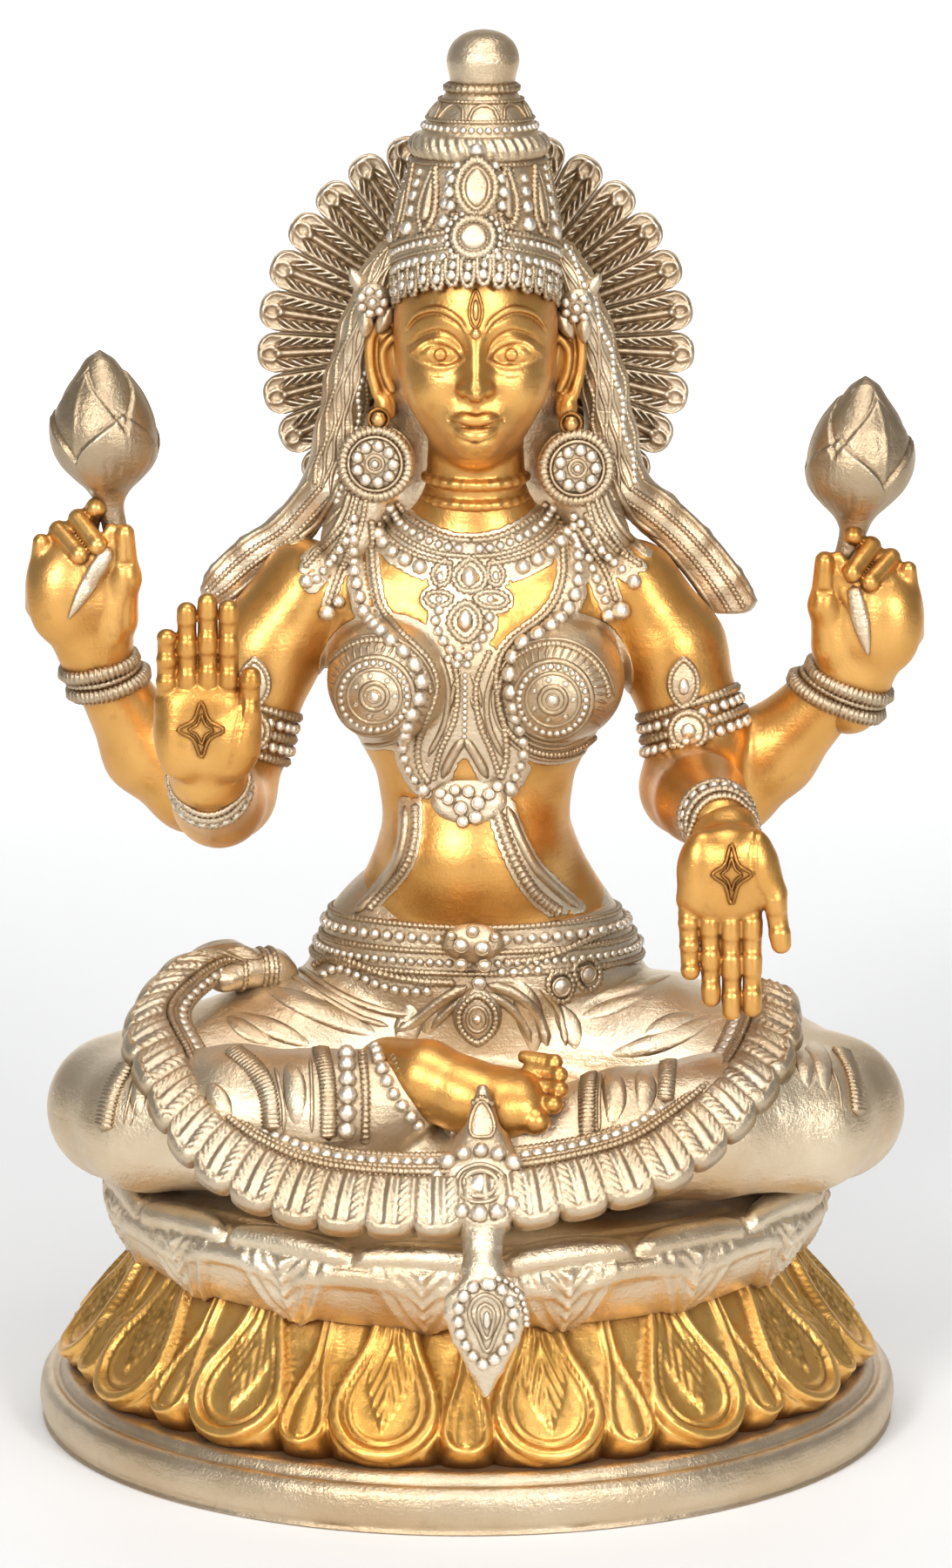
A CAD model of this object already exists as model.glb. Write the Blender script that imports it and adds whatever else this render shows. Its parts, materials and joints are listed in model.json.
# Seated four-armed goddess on a lotus pedestal, cast brass with a pale silver and a gold finish.
# Working sizes are millimetres; makePiece turns them into metres.
import json
import math

import bpy
import numpy as np
import openvdb
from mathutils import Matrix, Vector
from mathutils.bvhtree import BVHTree
from mathutils.kdtree import KDTree

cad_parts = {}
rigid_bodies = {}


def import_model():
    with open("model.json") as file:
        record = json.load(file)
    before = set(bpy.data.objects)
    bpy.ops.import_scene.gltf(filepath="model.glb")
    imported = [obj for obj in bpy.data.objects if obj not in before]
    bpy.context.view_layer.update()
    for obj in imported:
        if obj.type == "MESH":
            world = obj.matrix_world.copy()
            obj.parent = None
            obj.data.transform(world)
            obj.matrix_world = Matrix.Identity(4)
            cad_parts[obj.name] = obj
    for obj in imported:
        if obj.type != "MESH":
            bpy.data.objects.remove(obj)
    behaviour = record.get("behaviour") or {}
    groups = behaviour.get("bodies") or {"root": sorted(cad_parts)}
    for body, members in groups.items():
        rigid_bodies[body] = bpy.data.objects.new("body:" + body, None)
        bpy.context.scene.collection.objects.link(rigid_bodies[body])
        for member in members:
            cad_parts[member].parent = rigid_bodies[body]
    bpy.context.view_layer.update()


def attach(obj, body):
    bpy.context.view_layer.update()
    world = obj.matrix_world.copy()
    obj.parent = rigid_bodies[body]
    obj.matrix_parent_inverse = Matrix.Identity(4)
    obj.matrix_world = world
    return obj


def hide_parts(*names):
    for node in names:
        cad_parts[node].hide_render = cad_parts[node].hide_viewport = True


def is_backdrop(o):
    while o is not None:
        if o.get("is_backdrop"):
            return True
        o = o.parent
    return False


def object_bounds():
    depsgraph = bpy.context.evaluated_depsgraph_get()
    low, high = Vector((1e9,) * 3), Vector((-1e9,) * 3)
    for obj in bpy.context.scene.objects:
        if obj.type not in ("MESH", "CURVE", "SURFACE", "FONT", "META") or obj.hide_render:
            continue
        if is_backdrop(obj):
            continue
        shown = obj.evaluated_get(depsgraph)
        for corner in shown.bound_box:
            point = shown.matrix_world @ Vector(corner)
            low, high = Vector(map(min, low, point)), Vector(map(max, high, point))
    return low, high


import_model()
for thing in list(bpy.data.objects):
    if thing.name in ("Cube", "Light", "Camera"):
        bpy.data.objects.remove(thing)
noise = np.random.default_rng(11)

seatTop = 60.3
axisX = 2.0
up = np.array([0, 0, 1.0])
view = {
    "place": (2.06, -1467.0, 448.0),  # mm
    "pitch": 11.64,  # degrees below level
    "reach": 7616.0,  # focal length in the frame's pixels
    "centre": (546.5, 900.0),
    "middle": 541.0,  # across, where the figure's middle stands
    "lens": 152.32,
}


# Small tools for vectors and meshes
def unit(v):
    v = np.asarray(v, float)
    return v / np.maximum(np.linalg.norm(v, axis=-1, keepdims=True), 1e-9)


def smooth(a, b, t):
    t = np.clip((t - a) / (b - a), 0.0, 1.0)
    return t * t * (3 - 2 * t)


def raised(rings):
    return [[r[0], r[1], r[2] + seatTop, *r[3:]] for r in rings]


def mirrored(points, about=axisX):
    return [[2 * about - p[0], *p[1:]] for p in points]


def curve(points, step=1.0, closed=False):
    # even steps along a Catmull-Rom curve through the points
    p = np.asarray(points, float)
    n = len(p)
    if closed:
        q = np.vstack([p[-1], p, p[0], p[1]])
        spans = n
    else:
        q = np.vstack([2 * p[0] - p[1], p, 2 * p[-1] - p[-2]])
        spans = n - 1
    t = np.linspace(0, 1, 12, endpoint=False)[:, None]
    rows = []
    for i in range(spans):
        a, b, c, d = q[i], q[i + 1], q[i + 2], q[i + 3]
        low = 2 * b + (c - a) * t + (2 * a - 5 * b + 4 * c - d) * t**2
        rows.append(0.5 * (low + (3 * b - a - 3 * c + d) * t**3))
    rows.append(q[spans + 1][None] if not closed else p[:1])
    fine = np.vstack(rows)
    length = np.concatenate([[0], np.cumsum(np.linalg.norm(np.diff(fine, axis=0), axis=1))])
    count = max(2, int(round(length[-1] / step)) + 1)
    at = np.linspace(0, length[-1], count)
    even = np.stack([np.interp(at, length, fine[:, k]) for k in range(p.shape[1])], 1)
    return even[:-1] if closed else even


class Cast:
    # a growing mesh with a silver share at each point
    def __init__(self):
        self.points, self.faces, self.silver, self.count = [], [], [], 0

    def add(self, points, faces, silver=1.0):
        points = np.asarray(points, float).reshape(-1, 3)
        self.points.append(points)
        for f in faces if isinstance(faces, list) else [faces]:
            if len(f):
                self.faces.append(np.asarray(f, np.int64) + self.count)
        self.silver.append(np.broadcast_to(np.asarray(silver, float), (len(points),)))
        self.count += len(points)

    def merged(self):
        return np.vstack(self.points), self.faces, np.concatenate(self.silver)


def makePiece(name, cast, keep=1.0, node="lakshmi_figure"):
    points, faces, silver = cast.merged()
    mesh = bpy.data.meshes.new(name)
    mesh.vertices.add(len(points))
    mesh.vertices.foreach_set("co", (points * 0.001).astype(np.float32).ravel())
    loops = np.concatenate([f.ravel() for f in faces])
    sizes = np.concatenate([np.full(len(f), f.shape[1]) for f in faces])
    mesh.loops.add(len(loops))
    mesh.loops.foreach_set("vertex_index", loops.astype(np.int32))
    mesh.polygons.add(len(sizes))
    mesh.polygons.foreach_set("loop_start", (np.cumsum(sizes) - sizes).astype(np.int32))
    mesh.polygons.foreach_set("use_smooth", np.ones(len(sizes), bool))
    mesh.update(calc_edges=True)
    mesh.validate()
    mask = mesh.attributes.new("silver", "FLOAT", "POINT")
    mask.data.foreach_set("value", silver.astype(np.float32))
    mesh.materials.append(brasses[node])
    piece = bpy.data.objects.new(name, mesh)
    bpy.context.collection.objects.link(piece)
    if keep < 1:
        # flat places need fewer faces
        thin = piece.modifiers.new("thin", "DECIMATE")
        thin.ratio = keep
        graph = bpy.context.evaluated_depsgraph_get()
        piece.data = bpy.data.meshes.new_from_object(piece.evaluated_get(graph))
        piece.modifiers.clear()
        sizes = np.array([len(face.vertices) for face in piece.data.polygons])
    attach(piece, "root")
    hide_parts(node)
    print(name, "triangles", int((sizes - 2).sum()))


slots = {"lakshmi_figure": "figure_brass", "halo": "halo_brass", "lotus_pedestal": "pedestal_brass"}


def gridFaces(rows, columns, wrapRows=False, wrapColumns=False, flip=False):
    steps = (np.arange(rows - (not wrapRows)), np.arange(columns - (not wrapColumns)))
    i, j = (a.ravel() for a in np.meshgrid(*steps, indexing="ij"))
    k, m = (i + 1) % rows, (j + 1) % columns
    quads = np.stack([i * columns + j, i * columns + m, k * columns + m, k * columns + j], 1)
    return quads[:, ::-1] if flip else quads


def fanFaces(ring, pole, flip=False):
    ring = np.asarray(ring)
    tris = np.stack([ring, np.roll(ring, -1), np.full(len(ring), pole)], 1)
    return tris[:, ::-1] if flip else tris


def makeBall():
    # a light ball: two poles and three rings of eight
    turn = np.arange(8) * math.pi / 4
    rings = [np.stack([np.sin(p) * np.cos(turn), np.sin(p) * np.sin(turn), np.full(8, np.cos(p))], 1)
             for p in (math.pi / 4, math.pi / 2, 3 * math.pi / 4)]
    points = np.vstack([*rings, [[0, 0, 1], [0, 0, -1]]])
    caps = [fanFaces(np.arange(8), 24), fanFaces(np.arange(16, 24), 25, True)]
    return points, [gridFaces(3, 8, wrapColumns=True, flip=True), *caps]


ballPoints, ballFaces = makeBall()


def beads(cast, centres, radius, silver=1.0, normals=None, flat=1.0, stretch=None, along=None):
    # many beads; flat squashes them along the surface normal, stretch draws them out along the row
    centres = np.asarray(centres, float)
    n = len(centres)
    if n == 0:
        return
    shape = ballPoints[None] * np.broadcast_to(np.asarray(radius, float).reshape(-1, 1, 1), (n, 1, 1))
    if normals is not None:
        up = unit(normals)
        guide = np.where(np.abs(up[:, 2:3]) > 0.9, [[0, 1.0, 0]], [[0, 0, 1.0]]) if along is None else along
        side = unit(np.cross(guide, up))
        fore = np.cross(up, side)
        long = 1.0 if stretch is None else stretch
        across, ahead, out = (shape[..., k:k + 1] for k in range(3))
        shape = across * side[:, None] + ahead * long * fore[:, None] + out * flat * up[:, None]
    points = (centres[:, None] + shape).reshape(-1, 3)
    offsets = (np.arange(n) * len(ballPoints))[:, None, None]
    faces = [(f[None] + offsets).reshape(-1, f.shape[1]) for f in ballFaces]
    cast.add(points, faces, silver)


def sweep(cast, path, radius, normals=None, sides=6, flat=1.0, silver=1.0, closed=False):
    # a tube along the path; radius may be one number or one a point, flat squashes it along the normal
    path = np.asarray(path, float)
    n = len(path)
    if closed:
        way = unit(np.roll(path, -1, 0) - np.roll(path, 1, 0))
    else:
        way = unit(np.gradient(path, axis=0))
    up = np.array([[0, -1.0, 0]]) if normals is None else np.asarray(normals, float)
    side = unit(np.cross(way, np.broadcast_to(up, path.shape)))
    out = np.cross(side, way)
    r = np.broadcast_to(np.asarray(radius, float), (n,))[:, None, None]
    turn = (np.arange(sides) + 0.5) * 2 * math.pi / sides
    ring = side[:, None] * np.cos(turn)[None, :, None] + out[:, None] * np.sin(turn)[None, :, None] * flat
    points = (path[:, None] + r * ring).reshape(-1, 3)
    faces = [gridFaces(n, sides, wrapRows=closed, wrapColumns=True)]
    if not closed:
        first = path[0] - way[0] * r[0, 0] * 0.6
        last = path[-1] + way[-1] * r[-1, 0] * 0.6
        points = np.vstack([points, first, last])
        faces.append(fanFaces(np.arange(sides), n * sides, True))
        faces.append(fanFaces(np.arange((n - 1) * sides, n * sides), n * sides + 1))
    cast.add(points, faces, silver)


def nicked(cast, path, radius, pitch, depth, normals, flat, silver=1.0, closed=False):
    # a cord with a nick every pitch, as cut with a small chisel
    path = np.asarray(path, float)
    steps = np.linalg.norm(np.diff(path, axis=0), axis=1)
    length = np.concatenate([[0], np.cumsum(steps)])
    full = length[-1] + (np.linalg.norm(path[0] - path[-1]) if closed else 0)
    count = max(3, int(round(full / pitch)))
    at = np.linspace(0, full, count * 3, endpoint=not closed)
    source = np.vstack([path, path[:1]]) if closed else path
    where = np.concatenate([length, [full]]) if closed else length
    fine = np.stack([np.interp(at, where, source[:, k]) for k in range(3)], 1)
    ways = np.vstack([normals, normals[:1]]) if closed else np.asarray(normals)
    ups = unit(np.stack([np.interp(at, where, ways[:, k]) for k in range(3)], 1))
    share = np.array([1.0, 1.0, 1 - depth])[np.arange(len(at)) % 3]
    sweep(cast, fine, radius * share, ups, 6, flat, silver, closed)


def plaque(cast, outline, centre, lift, normal, dome=0.6):
    # a plain raised plate inside an outline
    outline, centre, normal = np.asarray(outline), np.asarray(centre, float), unit(normal)
    n = len(outline)
    foot = outline - normal * 0.8
    brim = outline * 0.94 + centre * 0.06 + normal * lift * 0.55
    mids = centre + (outline - centre) * 0.72 + normal * (lift * 0.85)
    tops = centre + (outline - centre) * 0.35 + normal * (lift + dome * 0.7)
    crest = [centre + normal * (lift + dome)]
    faces = [gridFaces(4, n, wrapColumns=True, flip=True), fanFaces(np.arange(3 * n, 4 * n), 4 * n, True)]
    cast.add(np.vstack([foot, brim, mids, tops, crest]), faces)


def onPlane(centre, normal, up, places):
    # flat places [across, along] set on a plane
    normal = unit(normal)
    across = unit(np.cross(up, normal))
    along = np.cross(normal, across)
    return np.array([np.asarray(centre) + across * a + along * b for a, b in places])


def oval(a, b, count=40, point=0.0):
    # an oval; point draws its top and bottom out to tips
    t = np.arange(count) * 2 * math.pi / count
    pull = 1 - point * np.abs(np.sin(t)) ** 3 * 0.55
    return np.stack([a * np.cos(t) * pull, b * np.sin(t)], 1)


def plate(cast, centre, normal, shape, lift, thick, dome=0.2):
    # an oval plate on a plane; shape is what oval takes
    at = centre + normal * lift
    plaque(cast, onPlane(at, normal, up, oval(*shape)), at, thick, normal, dome)


def hoop(cast, centre, normal, shape, lift, thick, cut=None, flat=0.9, sides=6, silver=1.0):
    # an oval wire on a plane, nicked where cut gives a pitch and a depth
    path = onPlane(centre + normal * lift, normal, up, oval(*shape))
    normals = [normal] * len(path)
    if cut:
        nicked(cast, path, thick, *cut, normals, flat, closed=True)
    else:
        sweep(cast, path, thick, normals, sides, flat, silver, closed=True)


def stud(cast, skin, place, size, lift=0.0, flat=0.8, stretch=None):
    # one bead under a place of the frame; stretch draws it out upright
    p, n = skin.seen([place])
    along = [up] if stretch else None
    beads(cast, p + n * lift, size, 1.0, n, flat, stretch, along)


# Clay: a distance field on a grid, joined smoothly, turned into quads
class Clay:
    def __init__(self, low, high, voxel):
        self.low, self.voxel = np.array(low, float), voxel
        self.size = np.ceil((np.array(high, float) - self.low) / voxel).astype(int) + 1
        self.field = np.full(self.size, 30.0, np.float32)

    def near(self, low, high):
        a = np.clip(np.floor((low - self.low) / self.voxel).astype(int), 0, self.size)
        b = np.clip(np.ceil((high - self.low) / self.voxel).astype(int) + 1, 0, self.size)
        cut = tuple(slice(i, j) for i, j in zip(a, b))
        axes = [(self.low[k] + self.voxel * np.arange(a[k], b[k])).astype(np.float32) for k in range(3)]
        return cut, axes[0][:, None, None], axes[1][None, :, None], axes[2][None, None, :]

    def join(self, cut, d, k, carve):
        f = self.field[cut]
        if carve:
            d = -d
            h = np.clip(0.5 - 0.5 * (f - d) / k, 0, 1) if k else (f < d).astype(np.float32)
            self.field[cut] = f + (d - f) * h + k * h * (1 - h)
        else:
            h = np.clip(0.5 + 0.5 * (f - d) / k, 0, 1) if k else (d < f).astype(np.float32)
            self.field[cut] = f + (d - f) * h - k * h * (1 - h)

    def cone(self, a, b, ra, rb, face=(0, -1, 0), k=1.0, carve=False):
        # from a to b with oval sections: (across, through), through looks to face
        a, b = np.asarray(a, float), np.asarray(b, float)
        ra, rb = np.broadcast_to(ra, 2), np.broadcast_to(rb, 2)
        length = max(np.linalg.norm(b - a), 1e-6)
        way = (b - a) / length if length > 1e-5 else np.array([0, 0, 1.0])
        side = unit(np.cross(way, face))
        out = np.cross(way, side)
        reach = max(*ra, *rb) + k + 2 * self.voxel
        cut, x, y, z = self.near(np.minimum(a, b) - reach, np.maximum(a, b) + reach)
        x, y, z = x - a[0], y - a[1], z - a[2]
        w = x * way[0] + y * way[1] + z * way[2]
        t = np.clip(w / length, 0, 1)
        e = w - t * length
        u = x * side[0] + y * side[1] + z * side[2]
        v = x * out[0] + y * out[1] + z * out[2]
        ru = ra[0] + (rb[0] - ra[0]) * t
        rv = ra[1] + (rb[1] - ra[1]) * t
        rc = np.minimum(ru, rv)
        u, v, e = u / ru, v / rv, e / rc
        q = np.sqrt(u * u + v * v + e * e)
        u, v, e = u / ru, v / rv, e / rc
        g = np.sqrt(u * u + v * v + e * e) + 1e-6
        self.join(cut, (q * (q - 1) / g).astype(np.float32), k, carve)

    def limb(self, rings, face=(0, -1, 0), k=2.0, carve=False):
        for p, q in zip(rings, rings[1:]):
            self.cone(p[:3], q[:3], (p[3], p[4]), (q[3], q[4]), face, k, carve)

    def ball(self, centre, radii, k=1.0, carve=False):
        c, r = np.asarray(centre, float), np.asarray(radii, float) * np.ones(3)
        cut, x, y, z = self.near(c - r - k - 2 * self.voxel, c + r + k + 2 * self.voxel)
        x, y, z = (x - c[0]) / r[0], (y - c[1]) / r[1], (z - c[2]) / r[2]
        q = np.sqrt(x * x + y * y + z * z)
        x, y, z = x / r[0], y / r[1], z / r[2]
        g = np.sqrt(x * x + y * y + z * z) + 1e-6
        self.join(cut, (q * (q - 1) / g).astype(np.float32), k, carve)

    def line(self, points, radius, k=0.5, carve=False, closed=False, step=None):
        step = step or 2.5 * self.voxel
        p = curve(points, step, closed) if len(points) > 2 else np.asarray(points, float)
        if closed:
            p = np.vstack([p, p[:1]])
        given = np.atleast_1d(radius)
        r = np.interp(np.linspace(0, 1, len(p)), np.linspace(0, 1, len(given)), given)
        for i in range(len(p) - 1):
            self.cone(p[i], p[i + 1], r[i], r[i + 1], (0.3, -1, 0.2), k, carve)

    def above(self, z, k=1.0):
        # cut flat: nothing stays below z
        z0 = self.low[2] + self.voxel * np.arange(self.size[2])
        d = np.broadcast_to((z0 - z).astype(np.float32)[None, None], self.field.shape)
        cut = (slice(None),) * 3
        self.join(cut, d, k, True)

    def engrave(self, places, radius):
        # a groove cut under places of the camera's frame
        p, n = Skin(self.mesh()).seen(places, 3.0)
        self.line(p + n * 0.12, radius, 0.25, True, step=2.2 * self.voxel)

    def mesh(self):
        grid = openvdb.FloatGrid(30.0)
        grid.copyFromArray(self.field)
        points, quads = grid.convertToQuads(isovalue=0.0)
        points, quads = points.astype(float), quads.astype(np.int64)
        a, b = quads.ravel(), np.roll(quads, 1, axis=1).ravel()
        count = np.bincount(a, minlength=len(points))[:, None]
        for share in (0.55, -0.5, 0.55, -0.5):
            # the grid's small steps are rubbed out
            around = np.stack([np.bincount(a, points[b, k], len(points)) for k in range(3)], 1) / count
            points = points + share * (around - points)
        return self.low + points * self.voxel, quads


class Skin:
    # rays onto meshes that are already made, to lay ornaments on them
    def __init__(self, *meshes):
        points, faces, start = [], [], 0
        for p, f in meshes:
            points.append(p)
            for part in f if isinstance(f, list) else [f]:
                faces += (part + start).tolist()
            start += len(p)
        self.tree = BVHTree.FromPolygons(np.vstack(points).tolist(), faces)

    def cast(self, origin, way, far=400.0):
        hit, normal, _, _ = self.tree.ray_cast(Vector(origin), Vector(way), far)
        return (np.array(hit), np.array(normal)) if hit else None

    def back(self, places):
        return self.front(places, (0, -1, 0), 130.0)

    def hits(self, rays, far=400.0):
        # places and normals where the rays land; a ray that misses is left out
        found = [hit for hit in (self.cast(origin, way, far) for origin, way in rays) if hit]
        return tuple(np.array([hit[k] for hit in found]).reshape(-1, 3) for k in (0, 1))

    def front(self, places, way=(0, 1, 0), start=-130.0):
        # points seen from the front, [x, z] pairs
        return self.hits([((x, start, z), way) for x, z in places])

    def seen(self, places, step=4.0, closed=False):
        # points under places of the camera's frame, in its pixels
        pitch = math.radians(view["pitch"])
        across = np.array([1, 0, 0])
        fore = np.array([0, math.cos(pitch), -math.sin(pitch)])
        rise = np.array([0, math.sin(pitch), math.cos(pitch)])
        reach, (cu, cv) = view["reach"], view["centre"]
        fine = curve(places, step, closed) if len(places) > 1 else np.asarray(places, float)
        ways = [fore + across * (u - cu) / reach - rise * (v - cv) / reach for u, v in fine]
        return self.hits([(view["place"], unit(way)) for way in ways], 2000.0)

    def around(self, centre, axis, count, reach):
        # a belt of points round an axis, shot inwards; the angle starts in front
        axis = unit(axis)
        front = np.array([0, -1.0, 0])
        a = unit(front - np.dot(front, axis) * axis)
        b = np.cross(axis, a)
        turns = np.radians(np.linspace(0, 360, count, endpoint=False))
        ways = [a * math.cos(t) + b * math.sin(t) for t in turns]
        return self.hits([(np.asarray(centre) + way * reach, -way) for way in ways], reach)


# Materials
class Wire:
    # a socket that takes part in sums; numbers alone are worked out in Python
    tree = None

    def __init__(self, socket):
        self.socket = socket

    @classmethod
    def node(cls, kind, settings=None, out=0, **values):
        made = cls.tree.nodes.new(kind)
        for key, value in (settings or {}).items():
            setattr(made, key, value)
        for key, value in values.items():
            numbered = key[0] == "n" and key[1:].isdigit()
            cls.plug(made.inputs[int(key[1:]) if numbered else key.replace("_", " ")], value)
        return cls(made.outputs[out])

    @classmethod
    def plug(cls, slot, value):
        if isinstance(value, cls):
            cls.tree.links.new(value.socket, slot)
        else:
            slot.default_value = value

    @classmethod
    def sum(cls, kind, a, b):
        return cls.node("ShaderNodeMath", {"operation": kind}, n0=a, n1=b)

    def __add__(self, other):
        return Wire.sum("ADD", self, other)

    def __radd__(self, other):
        return Wire.sum("ADD", other, self)

    def __sub__(self, other):
        return Wire.sum("SUBTRACT", self, other)

    def __rsub__(self, other):
        return Wire.sum("SUBTRACT", other, self)

    def __mul__(self, other):
        return Wire.sum("MULTIPLY", self, other)

    def __rmul__(self, other):
        return Wire.sum("MULTIPLY", other, self)

    def __truediv__(self, other):
        return Wire.sum("DIVIDE", self, other)

    def __rtruediv__(self, other):
        return Wire.sum("DIVIDE", other, self)

    def least(self, other):
        return Wire.sum("MINIMUM", self, other)

    def ramp(self, low, high):
        eased = {"interpolation_type": "SMOOTHSTEP"}
        return Wire.node("ShaderNodeMapRange", eased, Value=self, From_Min=low, From_Max=high)


def blendColour(share, a, b):
    a, b = (c if isinstance(c, Wire) else (*c, 1) for c in (a, b))
    return Wire.node("ShaderNodeMix", {"data_type": "RGBA"}, 2, n0=share, n6=a, n7=b)


def castBrass(name, look):
    material = bpy.data.materials.new(name)
    material.use_nodes = True
    Wire.tree = material.node_tree
    shader = material.node_tree.nodes["Principled BSDF"]
    place = Wire.node("ShaderNodeTexCoord", out=3)

    def cloud(scale, detail=3.0, rough=0.55, stretch=None):
        at = place if stretch is None else Wire.node("ShaderNodeMapping", Vector=place, Scale=stretch)
        return Wire.node("ShaderNodeTexNoise", Vector=at, Scale=scale, Detail=detail, Roughness=rough)

    given = Wire.node("ShaderNodeAttribute", {"attribute_name": "silver"}, out=2)
    silver = (given.least(1.0) + (cloud(420, 2) - 0.5) * 0.3).ramp(0.35, 0.65)
    broad, fine = cloud(24, 4), cloud(260, 4, 0.65)
    grain, hammered = cloud(1300, 3, 0.7), cloud(95, 2, 0.5)
    brushed = cloud(500, 3, 0.6, (0.25, 0.25, 2.2))
    spots = cloud(210, 3, 0.6).ramp(0.62, 0.72)
    stain = cloud(60, 4, 0.6).ramp(0.52, 0.7) * look["stain"]
    openness = Wire.node("ShaderNodeAmbientOcclusion", {"samples": 3}, out=1, Distance=look["reach"])
    shade = 1 - (openness + silver * 0.16).ramp(look["dirtyBelow"], look["cleanAbove"])
    grime = (shade * (0.45 + 0.9 * fine)).least(1.0)
    ridge = Wire.node("ShaderNodeNewGeometry", out=7)
    worn, hollow = ridge.ramp(0.52, 0.6), 1 - ridge.ramp(0.40, 0.485)
    gold = blendColour(broad.ramp(0.3, 0.7), look["goldDeep"], look["gold"])
    pale = blendColour(broad.ramp(0.3, 0.7), look["silverDeep"], look["silver"])
    colour = blendColour(silver, gold, pale)
    colour = blendColour(given.ramp(1.2, 2.0) * (0.6 + 0.4 * broad), colour, look["tarnish"])
    deep = blendColour(silver, look["goldDeep"], look["silverDeep"])
    colour = blendColour(stain * (1 - 0.4 * silver), colour, deep)
    bright = blendColour(silver, look["goldWorn"], look["silverWorn"])
    colour = blendColour(worn * (0.35 + 0.4 * silver), colour, bright)
    dirt = blendColour(silver, look["goldDirt"], look["silverDirt"])
    soiled = grime * (look["dirt"] + 0.4 * (1 - silver)) + hollow * (0.6 - 0.25 * silver)
    colour = blendColour(soiled.least(0.92), colour, dirt)
    colour = blendColour(spots * (0.2 - 0.08 * silver + grime) * 0.6, colour, look["spot"])
    Wire.plug(shader.inputs["Base Color"], colour)
    rough = look["rough"] + (fine - 0.5) * 0.16 + (brushed - 0.5) * 0.12 + grime * 0.2
    Wire.plug(shader.inputs["Roughness"], rough)
    Wire.plug(shader.inputs["Metallic"], 1 - grime * 0.3)
    height = (fine * 0.45 + grain * 0.4 + brushed * 0.25) * (0.45 + 0.6 * silver)
    height = height + hammered * (0.25 + 1.3 * silver)
    bump = Wire.node("ShaderNodeBump", Height=height, Strength=look["bump"], Distance=0.0006)
    Wire.plug(shader.inputs["Normal"], bump)
    return material


look = {
    "gold": (0.84, 0.475, 0.15), "goldDeep": (0.64, 0.31, 0.075), "goldWorn": (0.98, 0.74, 0.38),
    "silver": (0.82, 0.70, 0.52), "silverDeep": (0.64, 0.48, 0.30), "silverWorn": (0.98, 0.91, 0.79),
    "goldDirt": (0.16, 0.05, 0.008), "silverDirt": (0.22, 0.125, 0.045), "spot": (0.05, 0.035, 0.02),
    "tarnish": (0.42, 0.31, 0.19), "rough": 0.37, "bump": 0.7, "reach": 0.003,
    "dirtyBelow": 0.3, "cleanAbove": 0.97, "dirt": 0.62, "stain": 0.3,
}
changes = {  # where a casting's brass differs
    "lakshmi_figure": {},
    "halo": {"silver": (0.68, 0.56, 0.41), "silverDeep": (0.48, 0.36, 0.23), "dirt": 0.9, "reach": 0.0036},
    "lotus_pedestal": {
        "gold": (0.94, 0.56, 0.17), "goldDeep": (0.78, 0.41, 0.09), "dirt": 0.7, "reach": 0.0034,
        "stain": 0.8,
    },
}
brasses = {node: castBrass(slots[node], {**look, **changes[node]}) for node in slots}
print("materials ready")

# Body: neck, chest, belly and four arms in one
torsoRings = raised([
    [2, 12, 34, 36, 25], [3, 6, 45, 34, 21], [2.9, 3.6, 55.5, 28, 18.8], [2.3, 2.6, 67, 22, 16.8],
    [2, 2, 76, 19, 15.4], [2, 1, 89, 20.8, 15.3], [2, 0, 102, 27, 16], [2, 0, 115, 32, 16.5],
    [2, 1, 126, 34, 14.5], [2, 2, 134, 31, 12.5], [2, 2, 140, 20, 10.6], [2, 1, 146, 11.2, 10],
    [2, 0, 164, 10.4, 10],
])
upperArm = raised([[-36, 3, 130, 12.6, 11], [-45, 1, 116, 12, 12], [-51.5, -2, 96, 10.8, 10.8]])
rightFront = raised([[-51.5, -2, 96, 10.8, 10.8], [-54, -8, 85.5, 10.6, 10.6], [-55, -26, 87, 9.7, 9.7],
                     [-56, -48, 95, 7.8, 8]])
rightBack = raised([[-51, 1, 96, 10, 10], [-62, 5, 84.5, 10.6, 10.4], [-72, 3, 93, 10.2, 10],
                    [-82, -4, 113, 7.8, 7]])
leftFront = raised([[52, -2, 96, 10.8, 10.8], [50, -8, 86.5, 10.6, 10.6], [52, -26, 87.5, 9.7, 9.7],
                    [55.2, -46, 87, 7.2, 7.4]])
leftBack = raised([[51, 1, 98, 10, 10], [60, 5, 84, 10.6, 10.4], [69, 3, 92.5, 10.2, 10],
                   [84, -4, 110, 7.8, 7]])
leftUpper = mirrored(upperArm, 0.5)
breast = {"apart": 19.5, "y": -13, "z": 112 + seatTop, "radii": (13.4, 15.5, 13.4)}

body = Clay((-98, -62, 96), (104, 34, 228), 0.82)
body.limb(torsoRings, k=6)
for side in (-1, 1):
    body.ball((axisX + side * breast["apart"], breast["y"], breast["z"]), breast["radii"], k=2.4)
body.ball((axisX, -9, 70 + seatTop), (17, 11.5, 13), k=8)
for rings in (upperArm, leftUpper, rightFront, leftFront, rightBack, leftBack):
    body.limb(rings, face=(1, 0.2, 0), k=3.2)
spine = [(2, 21.4, 128), (2, 20.6, 112), (2, 19.6, 96), (2, 20.2, 80), (2, 24.0, 64), (2, 30.5, 52)]
for (xa, ya, za), (xb, yb, zb) in zip(spine, spine[1:]):
    body.cone((xa, ya, za + seatTop), (xb, yb, zb + seatTop), 3.6, 3.6, k=5, carve=True)
for side in (-1, 1):
    body.ball((axisX + side * 15, 12.2, 118 + seatTop), (9, 5.0, 13), k=5)
bodyMesh = body.mesh()
bodySkin = Skin(bodyMesh)
print("body clay", len(bodyMesh[1]))


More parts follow.
